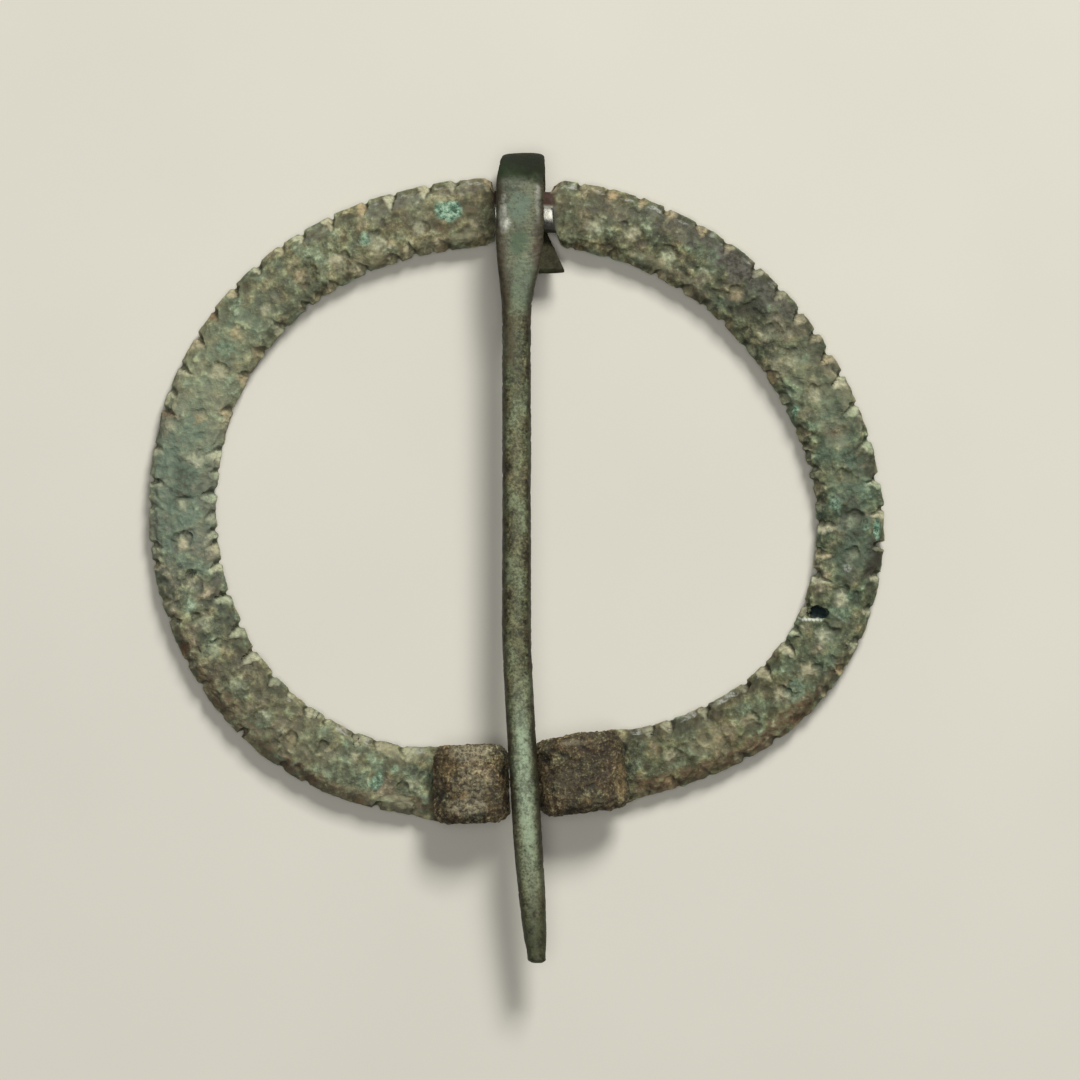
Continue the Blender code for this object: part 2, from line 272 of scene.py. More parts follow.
# Where colours change along the pin: by the loop from the neck, then from the hoop's centre and the tip.
PIN_EDGE_WAVER = 0.25 * MM
LOOP_FRONT = (-8.0 * MM, -3.0 * MM)
# The loop's bend darkens with painted shade over a dark green patina, and its top fades nearly to black.
BEND_FADE = (1.1 * MM, 2.7 * MM)
BEND_TOP_FADE = (2.2 * MM, 3.6 * MM)
BEND_TOP_SLANT = 0.35
BRIGHT_START = (-11.0 * MM, -17.0 * MM)
BRIGHT_END = (0.5 * MM, 11.5 * MM)
TIP_STAIN = (6.5 * MM, 0.0)

# Soft lights: name, place, size and share of the key light's power.
SOFTBOXES = (
    ("key_softbox", (0.17, 0.43, 0.46), 0.2, 1.0),
    ("top_softbox", (-0.03, -0.06, 0.9), 0.4, 0.6),
)
LAMP_COLOUR = "#fffef5"
SKY_COLOUR = "#f4f3f0"

# Camera, straight above a point a little beside the brooch's middle.
CAMERA_HEIGHT = 0.6
CAMERA_ASIDE = (1.6 * MM, 1.16 * MM)
SENSOR_WIDTH = 36.0
FRAME_WIDTH = 73.44 * MM

NOISE_TABLE = 4096
ARM_SEEDS = (101, 211)
SMALLEST_LENGTH = 1e-12


# Numbers and shapes ---------------------------------------------------------------------------------


def smooth_step(low, high, value):
    """0 before low, 1 past high and an even ease between them."""
    share = np.clip((value - low) / (high - low), 0.0, 1.0)
    return share * share * (3.0 - 2.0 * share)


def mix(first, second, share):
    return first + (second - first) * share


def value_noise(points, lump, seed):
    """Smooth random values from -1 to 1 at an array of places, with about one rise or dip to a lump."""
    source = np.random.default_rng(seed)
    order = source.permutation(NOISE_TABLE)
    values = source.uniform(-1.0, 1.0, NOISE_TABLE)
    scaled = points / lump
    cell = np.floor(scaled).astype(np.int64)
    part = scaled - cell
    part = part * part * (3.0 - 2.0 * part)
    total = np.zeros(points.shape[:-1])
    for corner in range(8):
        step = ((corner >> 0) & 1, (corner >> 1) & 1, (corner >> 2) & 1)
        key = np.zeros(points.shape[:-1], dtype=np.int64)
        weight = np.ones(points.shape[:-1])
        for axis in range(3):
            key = order[(key + cell[..., axis] + step[axis]) % NOISE_TABLE]
            weight = weight * (part[..., axis] if step[axis] else 1.0 - part[..., axis])
        total += values[key] * weight
    return total


def layered_noise(points, lump, seed, layers=3, fade=0.6):
    """Value noise with finer layers on it, each half the size of the one before."""
    total = np.zeros(points.shape[:-1])
    strength = 1.0
    for layer in range(layers):
        total += strength * value_noise(points, lump * 0.5 ** layer, seed + layer)
        strength *= fade
    return total


def along_strip(walk, across, width=BAND_HALF_WIDTH):
    """Places for noise that follows the strip and not the air round it."""
    walk, across = np.broadcast_arrays(walk, across)
    return np.stack([walk, across * width, np.zeros_like(walk)], axis=-1)


def unit(vectors):
    return vectors / np.maximum(np.linalg.norm(vectors, axis=-1, keepdims=True), SMALLEST_LENGTH)


def grid_normals(rows):
    """Normals of a grid of points whose columns close round the strip."""
    down = np.gradient(rows, axis=0)
    round_it = np.roll(rows, -1, axis=1) - np.roll(rows, 1, axis=1)
    return unit(np.cross(round_it, down))


def soft_patches(groups, points, fade, offsets):
    """A mask for each group of patches; where patches overlap, the strongest wins.

    A group has the seed of its ragged edges and its patches. Each patch has a place given by two numbers,
    a length and a width in millimetres, and a strength. Offsets turns a place into every point's distances
    from it, along the patch and beside it.
    """
    raggedness, lump, full, gone = fade
    masks = {}
    for name, (seed, patches) in groups.items():
        ragged = raggedness * layered_noise(points, lump, seed)
        total = np.zeros(ragged.shape)
        for first, second, length_mm, width_mm, strength in patches:
            along, beside = offsets(first, second)
            reach = np.hypot(along / (0.5 * length_mm * MM), beside / (0.5 * width_mm * MM)) + ragged
            total = np.maximum(total, strength * smooth_step(gone, full, reach))
        masks[name] = total
    return masks


# Hoop -----------------------------------------------------------------------------------------------


class HoopLine:
    """Centreline of the hoop, looked up by the length walked round it from the bottom."""

    def __init__(self):
        self.bearings = np.linspace(-0.5 * math.pi, 1.5 * math.pi, CENTRELINE_STEPS + 1)
        radius = HOOP_RADIUS + sum(
            height * np.cos(count * (self.bearings - math.radians(crest)))
            for count, height, crest in HOOP_LOBES
        )
        self.points = np.stack([radius * np.cos(self.bearings), radius * np.sin(self.bearings)], axis=1)
        steps = np.linalg.norm(np.diff(self.points, axis=0), axis=1)
        self.lengths = np.concatenate(([0.0], np.cumsum(steps)))
        self.along = unit(np.gradient(self.points, self.lengths, axis=0))

    def length_at_x(self, x, upper):
        """Length at which the line passes a place along X, on its upper or lower stretch."""
        half = self.points[:, 1] > 0.0 if upper else self.points[:, 1] < 0.0
        picked = half & (np.abs(self.points[:, 0]) < NEAR_MIDDLE * HOOP_RADIUS)
        if not upper:
            first_half = self.lengths <= 0.5 * self.lengths[-1]
            picked &= first_half if x > 0.0 else ~first_half
        order = np.argsort(self.points[picked, 0])
        return float(np.interp(x, self.points[picked, 0][order], self.lengths[picked][order]))

    def neck_y(self):
        """Y of the line at the middle of the neck."""
        return float(np.interp(0.5 * math.pi, self.bearings, self.points[:, 1]))

    def at(self, lengths):
        """Places, ways along and bearings in degrees at an array of lengths."""
        place = [np.interp(lengths, self.lengths, self.points[:, axis]) for axis in (0, 1)]
        along = [np.interp(lengths, self.lengths, self.along[:, axis]) for axis in (0, 1)]
        flat = np.zeros_like(lengths)
        bearings = np.degrees(np.interp(lengths, self.lengths, self.bearings))
        return np.stack([*place, flat], axis=1), unit(np.stack([*along, flat], axis=1)), bearings


class Arm:
    """One arm of the hoop with its roll: the rows of its strip and the relief on them."""

    def __init__(self, line, side, roll_x, roll_half_length):
        self.side = side
        start = line.length_at_x(PIN_X, upper=True)
        foot = line.length_at_x(roll_x, upper=False)
        self.band_length = abs(foot - start)
        band_walk = np.linspace(0.0, self.band_length, BAND_ROWS)
        place, along, bearing = line.at(start + side * band_walk)
        outward = np.stack([along[:, 1], -along[:, 0], np.zeros(BAND_ROWS)], axis=1)
        upright = np.array([0.0, 0.0, 1.0])

        angle = ROLL_SWEEP * np.arange(1, ROLL_ROWS + 1) / ROLL_ROWS
        travel = along[-1] * side
        reach, height = self.spiral(angle, roll_half_length)
        ahead_reach, ahead_height = self.spiral(angle + SMALL_TURN, roll_half_length)
        heading = unit(np.stack([ahead_reach - reach, ahead_height - height], axis=1))
        roll_place = place[-1] + reach[:, None] * travel + height[:, None] * upright
        roll_up = -heading[:, 1:] * travel + heading[:, :1] * upright
        roll_steps = np.linalg.norm(np.diff(np.vstack([place[-1:], roll_place]), axis=0), axis=1)

        self.place = np.vstack([place, roll_place])
        self.outward = np.vstack([outward, np.tile(outward[-1], (ROLL_ROWS, 1))])
        self.up = np.vstack([np.tile(upright, (BAND_ROWS, 1)), roll_up])
        self.walk = np.concatenate([band_walk, self.band_length + np.cumsum(roll_steps)])
        self.bearing = np.concatenate([bearing, np.full(ROLL_ROWS, bearing[-1])])
        self.turn = np.concatenate([np.zeros(BAND_ROWS), angle])
        self.covered_from = self.band_length - roll_half_length + ROLL_COVER_START
        self.lead_in = smooth_step(self.band_length - LEAD_IN_LENGTH, self.band_length, self.walk)
        self.half_width = mix(BAND_HALF_WIDTH, ROLL_HALF_WIDTH, self.lead_in)
        self.half_width[BAND_ROWS:] *= 1.0 - ROLL_END_NARROWING * np.abs(np.sin(angle)) ** ROLL_END_POWER
        self.thickness = mix(BAND_THICKNESS, ROLL_STRIP_START, self.lead_in)
        self.thickness[BAND_ROWS:] = mix(ROLL_STRIP_START, ROLL_STRIP_END, angle / ROLL_SWEEP)
        self.outline_position()

    @staticmethod
    def spiral(angle, half_length):
        reach = (half_length - ROLL_LENGTH_LOSS * angle) * np.sin(angle)
        height = ROLL_HALF_HEIGHT - (ROLL_HALF_HEIGHT - ROLL_HEIGHT_LOSS * angle) * np.cos(angle)
        return reach, height

    def outline_position(self):
        """Where each column lies on the outline, which slides round under the roll to its outer face."""
        band, roll = (
            np.concatenate([part + np.arange(count) / count for part, count in enumerate(counts)])
            for counts in (BAND_COLUMNS, ROLL_COLUMNS)
        )
        slide = smooth_step(self.band_length - SLIDE_START, self.band_length - SLIDE_END, self.walk)
        position = mix(band[None, :], roll[None, :], slide[:, None])
        self.across, self.height_share, neck_degrees = (
            np.interp(position, np.arange(len(values)), values)
            for values in (CORNER_ACROSS, CORNER_HEIGHT, CORNER_NECK_BEARING)
        )
        self.neck_bearing = np.radians(neck_degrees)
        self.on_top = smooth_step(0.5, 1.0, self.height_share)
        self.v = self.across * self.half_width[:, None]

    def near_neck(self):
        """X of each row, X of the neck's right end at each point, and 1 on the upper half of the band."""
        right_end = mix(NECK_RIGHT_INNER, NECK_RIGHT_OUTER, 0.5 + 0.5 * self.across)
        upper = (self.place[:, 1:2] > 0.0) * (self.turn[:, None] == 0.0)
        return self.place[:, :1], right_end, upper

    def neck_share(self):
        """How far each point belongs to the neck and not to the band."""
        x, right_end, upper = self.near_neck()
        left = smooth_step(NECK_LEFT - SHOULDER_LENGTH, NECK_LEFT, x)
        right = 1.0 - smooth_step(right_end - SHOULDER_EASE, right_end + SHOULDER_LENGTH, x)
        return upper * left * right

    def shoulder_rounding(self):
        """1 at the band's end by the neck, easing to 0 along it, where the end's edges are rounded off."""
        x, right_end, upper = self.near_neck()
        past_end = np.maximum(NECK_LEFT - x, x - right_end)
        return upper * np.clip(1.0 - past_end / SHOULDER_ROUND, 0.0, 1.0) ** 2 * np.abs(self.across) ** 2

    def shape(self, cut, inset):
        """Points of the strip with its top lowered by cut and its edges drawn in by inset."""
        across = self.across
        half_width = self.half_width[:, None]
        thickness = self.thickness[:, None]
        crown = mix(CROWN_DROP, 0.0, self.lead_in[:, None])
        top = thickness - crown * across ** 2 - cut
        to_edge = np.clip(half_width * (1.0 - np.abs(across)) / CORNER_ROUND, 0.0, 1.0)
        to_top = np.clip(thickness * (1.0 - self.height_share) / CORNER_ROUND, 0.0, 1.0)
        to_foot = np.clip(thickness * self.height_share / CORNER_ROUND, 0.0, 1.0)
        corner = mix(CORNER_CUT, ROLL_CORNER_CUT, self.lead_in[:, None]) * CORNER_ROUND
        upper_side = self.height_share >= 0.5
        drop = corner * (1.0 - to_edge) ** 2
        height = self.height_share * top
        height = height - drop * self.height_share ** 3 + drop * (1.0 - self.height_share) ** 3
        drawn_in = inset + corner * np.where(upper_side, (1.0 - to_top) ** 2, (1.0 - to_foot) ** 2)
        side = across * half_width - np.sign(across) * drawn_in * np.abs(across) ** 4
        neck = self.neck_share()
        side = mix(side, NECK_HALF_WIDTH * np.cos(self.neck_bearing), neck)
        height = mix(height, NECK_HEIGHT + NECK_HALF_THICKNESS * np.sin(self.neck_bearing), neck)
        return (
            self.place[:, None, :]
            + self.outward[:, None, :] * side[..., None]
            + self.up[:, None, :] * height[..., None]
        )


# Nicks: bearing of the pale face, its width at the edge, its length inwards, strength, tone, and how far
# the nick bites into the outline; lengths in millimetres. Tone runs from pale green at 0 by cream and warm
# buff to rust at 1.
OUTER_NICKS = (
    (95.4, 0.75, 1, 0.9, 0.55, 0.1), (102.4, 0.55, 1.2, 0.5, 0.35, 0.15),
    (107.6, 0.85, 1.2, 0.95, 0.4, 0.22), (114.1, 0.75, 1.4, 1, 0.3, 0.15),
    (119.1, 0.8, 1.15, 0.95, 0.65, 0.2), (125.4, 0.7, 1.2, 1, 0.42, 0.3),
    (131.1, 0.75, 1, 0.85, 0.35, 0.25), (134.6, 0.55, 0.9, 0.7, 0.5, 0.15),
    (139.5, 0.5, 0.9, 0.7, 0.3, 0.2), (145, 0.8, 0.9, 0.8, 0.5, 0.25), (149.9, 0.75, 0.8, 0.8, 0.9, 0.12),
    (154.9, 0.85, 1.1, 0.85, 0.5, 0.3), (159.7, 0.6, 1.5, 0.7, 0.35, 0.15),
    (164.2, 0.9, 0.7, 0.6, 0.4, 0.12), (166.9, 0.45, 1.3, 0.8, 0.95, 0.2),
    (172.9, 0.75, 0.9, 0.6, 0.3, 0.15), (178, 0.55, 1.2, 0.85, 0.15, 0.3),
    (182.1, 0.7, 0.9, 0.5, 0.1, 0.12), (188.3, 0.6, 0.9, 0.45, 0.3, 0.22),
    (191.1, 0.5, 0.9, 0.9, 0.45, 0.2), (196.8, 0.5, 0.8, 0.45, 0.35, 0.12),
    (200.3, 0.6, 1.1, 0.45, 0.25, 0.2), (204.4, 0.8, 0.9, 0.7, 1, 0.05), (207.1, 0.5, 0.9, 0.4, 0.3, 0.12),
    (211.5, 0.8, 1, 0.4, 0.55, 0.2), (216.8, 0.7, 0.9, 0.35, 0.6, 0.08), (220.9, 0.7, 1, 0.3, 0.5, 0.4),
    (229, 0.8, 1.1, 0.6, 1, 0.1), (233.5, 0.8, 1, 0.5, 1, 0.15), (241.8, 0.9, 1, 0.6, 0.85, 0),
    (246, 1.2, 0.5, 0.2, 0.5, 0.25), (251.5, 0.6, 1.2, 0.4, 0.4, 0.1), (82.3, 0.9, 0.8, 0.6, 0.5, 0.05),
    (77.1, 0.6, 1.3, 0.7, 0.5, 0.2), (71.8, 0.85, 1.15, 0.8, 0.65, 0.12), (66.4, 0.6, 1.1, 0.7, 0.6, 0.12),
    (61, 0.75, 1.05, 0.75, 0.55, 0.25), (54.8, 0.75, 0.9, 0.7, 0.55, 0.15),
    (48.9, 0.6, 1.15, 0.6, 0.48, 0.15), (42.4, 0.7, 1.15, 0.65, 0.33, 0.3),
    (36.9, 0.7, 1.15, 0.65, 0.38, 0.18), (31.6, 0.9, 1.15, 0.75, 0.45, 0.3), (27.4, 0.6, 1, 0.6, 0.5, 0.25),
    (23.3, 0.7, 1.15, 0.75, 0.55, 0.3), (18.8, 0.95, 1.3, 0.85, 0.35, 0.3),
    (13.5, 0.8, 1.35, 0.85, 0.1, 0.2), (7.4, 1.1, 1, 0.75, 0.05, 0.2), (1.5, 0.65, 1.45, 0.9, 0.12, 0.3),
    (356.7, 0.65, 1.15, 0.9, 0.38, 0.2), (351.6, 0.4, 1, 0.3, 0.1, 0.55), (346.9, 0.6, 1, 0.75, 0.35, 0.25),
    (341.6, 0.7, 0.9, 0.75, 0.35, 0.15), (336.4, 0.7, 1, 0.75, 0.35, 0.12),
    (332.3, 0.5, 1.1, 0.9, 0.62, 0.12), (328.2, 0.5, 0.8, 0.5, 0.5, 0.12),
    (322.4, 0.8, 0.9, 0.6, 0.9, 0.05), (317.1, 0.7, 0.9, 0.35, 0.5, 0.15), (311.6, 0.6, 1, 0.5, 0.5, 0.2),
    (304.9, 0.8, 1.1, 0.65, 0.75, 0.12), (299.3, 0.9, 1.3, 0.75, 0.7, 0.12),
    (294.2, 0.7, 0.6, 0.5, 0.55, 0),
)
INNER_NICKS = (
    (97.4, 0.9, 1.2, 0.3, 0.95, 0.1), (106.4, 0.9, 0.9, 0.5, 0.6, 0.15), (109.4, 0.7, 0.5, 0.6, 0.35, 0.1),
    (113.2, 0.7, 1.35, 0.8, 0.42, 0.25), (117, 0.9, 0.7, 0.45, 0.45, 0.28),
    (123.9, 0.8, 1.15, 0.75, 0.45, 0.25), (130.7, 0.8, 0.7, 0.55, 0.5, 0.15),
    (134.4, 0.6, 0.8, 0.5, 0.6, 0.12), (137.8, 0.7, 0.9, 0.5, 0.5, 0.3),
    (144.2, 0.75, 1.45, 0.75, 0.3, 0.15), (150.6, 0.9, 1, 0.45, 0.75, 0.15),
    (156.2, 0.85, 1, 0.7, 0.6, 0.2), (164.1, 1, 1, 0.85, 0.58, 0.15), (171.9, 1, 1.2, 0.75, 0.3, 0.1),
    (175.6, 0.6, 0.8, 0.5, 0.05, 0.1), (180, 0.8, 1.3, 0.65, 0.05, 0.2), (183.8, 0.8, 0.7, 0.5, 0.2, 0.05),
    (187.2, 0.7, 1.1, 0.6, 0.25, 0.2), (189.6, 0.8, 0.9, 0.75, 0.45, 0.1),
    (193.2, 0.65, 1.3, 0.95, 0.25, 0.2), (199.5, 0.8, 1.6, 0.8, 0.12, 0.25),
    (206.2, 0.8, 1.6, 0.85, 0.15, 0.28), (211.5, 0.7, 1.6, 0.95, 0.28, 0.22),
    (217.9, 0.8, 0.8, 0.5, 0.3, 0.2), (221.9, 0.4, 0.5, 0.6, 0.2, 0.05), (227.5, 1.1, 0.7, 0.7, 0.35, 0.1),
    (231.6, 0.8, 0.9, 0.4, 0.05, 0.15), (238.2, 0.8, 1.1, 0.55, 0.3, 0.1),
    (243.5, 1.4, 0.8, 0.55, 0.4, 0.1), (249, 1.1, 1.1, 0.6, 0.25, 0.12), (76, 1, 0.5, 0.35, 0.95, 0.1),
    (68, 0.8, 0.9, 0.25, 0.7, 0.15), (57.2, 0.7, 0.5, 0.7, 0.5, 0.2), (50.8, 0.7, 0.7, 0.5, 0.5, 0.22),
    (45.1, 0.5, 0.8, 0.65, 0.35, 0.2), (43, 0.7, 0.6, 0.4, 0.8, 0.05), (39.6, 0.8, 0.8, 0.3, 0.6, 0.25),
    (32.5, 0.9, 0.6, 0.55, 0.45, 0.1), (25.6, 0.9, 1, 0.85, 0.62, 0.15), (21, 0.8, 0.6, 0.4, 0.2, 0.1),
    (18.3, 0.6, 0.6, 0.4, 0, 0.2), (13.2, 0.9, 1, 0.45, 0.55, 0.1), (10.4, 0.4, 0.5, 0.5, 0.3, 0.15),
    (8.7, 0.6, 0.9, 0.4, 0.1, 0.1), (5.3, 0.75, 1, 0.45, 0.35, 0.3), (2.4, 0.8, 1.2, 0.55, 0.5, 0.2),
    (358.8, 0.9, 0.6, 0.35, 0.4, 0.1), (354.6, 0.9, 1.9, 0.95, 0.35, 0.15),
    (349.4, 0.75, 1.5, 0.95, 0.5, 0.12), (344.8, 0.85, 1.6, 1, 0.35, 0.3),
    (338.1, 0.9, 0.5, 0.6, 0.35, 0.2), (333.7, 0.6, 1, 1, 0.15, 0.1), (330, 0.8, 1.6, 0.9, 0.38, 0.1),
    (323.5, 0.95, 1.4, 0.8, 0.45, 0.15), (318.2, 0.8, 0.6, 0.35, 0.3, 0.2),
    (309.3, 0.75, 1.1, 0.55, 0.3, 0.15), (301.5, 0.9, 1.1, 0.6, 0.38, 0.1),
    (297.8, 0.7, 0.9, 0.5, 0.28, 0.1),
)

# Punch marks: bearing, across, radius in millimetres, strength, tone, how dark its ring is, in depth and in
# painted shade, and 0 for a bowl or 1 for a boss.
PUNCH_MARKS = (
    (98.8, -0.3, 0.55, 0.5, 0.42, 0.3, 0.7), (110, -0.22, 0.5, 0.6, 0.3, 0.3, 0.7),
    (118.3, -0.28, 0.6, 0.7, 0.28, 0.3, 0.8), (126.7, -0.27, 0.6, 0.9, 0.42, 0.5, 1),
    (134.1, -0.1, 0.7, 0.45, 0.8, 0.9, 0.9), (142.9, -0.17, 0.45, 0.6, 0.38, 0.4, 0.8),
    (149.8, 0.03, 0.5, 0.6, 0.65, 0.4, 1), (157.3, -0.14, 0.55, 0.8, 0.45, 0.6, 1),
    (165.9, -0.13, 0.45, 0.65, 0.65, 0.5, 1), (173.5, -0.28, 0.6, 0.75, 0.35, 0.5, 1),
    (181.3, -0.02, 0.45, 0.65, 0.25, 0.7, 1), (187.7, 0.07, 0.52, 1, 0.45, 0.9, 1),
    (194.7, -0.05, 0.5, 0.3, 0.3, 1, 0.9), (201.7, 0, 0.58, 0.75, 0.1, 0.7, 1),
    (206.6, 0.08, 0.52, 0.75, 0.1, 0.9, 1), (213.8, 0.05, 0.65, 0.5, 0.1, 0.7, 1),
    (220.7, 0.03, 0.36, 1, 0.15, 0.9, 1), (226.9, 0.15, 0.5, 0.5, 0.6, 1, 0.6),
    (233.8, -0.05, 0.6, 0.3, 0.2, 0.6, 0.8), (238.2, -0.35, 0.38, 0.8, 0.3, 0.4, 1),
    (249.7, 0.1, 0.5, 0.4, 0.5, 0.6, 1), (74.4, -0.25, 0.65, 0.65, 0.22, 0.15, 0.8),
    (66.4, -0.12, 0.62, 0.85, 0.38, 0.3, 1), (58.2, -0.35, 0.5, 0.8, 0.15, 0.2, 1),
    (50, -0.2, 0.55, 0.5, 0.3, 0.25, 0.9), (42.8, -0.1, 0.52, 0.85, 0.58, 0.22, 1),
    (33, -0.1, 0.5, 0.3, 0.3, 0.5, 0.9), (26.5, -0.15, 0.55, 0.5, 0.3, 0.4, 0.9),
    (18.9, -0.08, 0.5, 0.55, 0.3, 0.5, 0.9), (11.5, 0.1, 0.5, 0.15, 0.95, 0.6, 0.6),
    (3.5, -0.12, 0.48, 0.4, 0.85, 0.8, 0.9), (356, 0, 0.6, 0.5, 0.1, 0.9, 1),
    (349.7, 0.08, 0.52, 0.35, 0.25, 0.7, 1), (342.6, 0, 0.58, 0.85, 0.38, 0.7, 0.9),
    (335.9, -0.05, 0.6, 1, 0.28, 0.5, 1), (329.4, 0.08, 0.58, 0.75, 0.45, 0.6, 1),
    (323, 0.05, 0.5, 0.7, 0.4, 0.6, 0.9), (316.1, 0, 0.5, 0.65, 0.48, 0.6, 0.9),
    (309.8, 0.05, 0.45, 0.7, 0.6, 0.4, 1), (300.4, 0.08, 0.55, 0.7, 0.42, 0.4, 1),
)

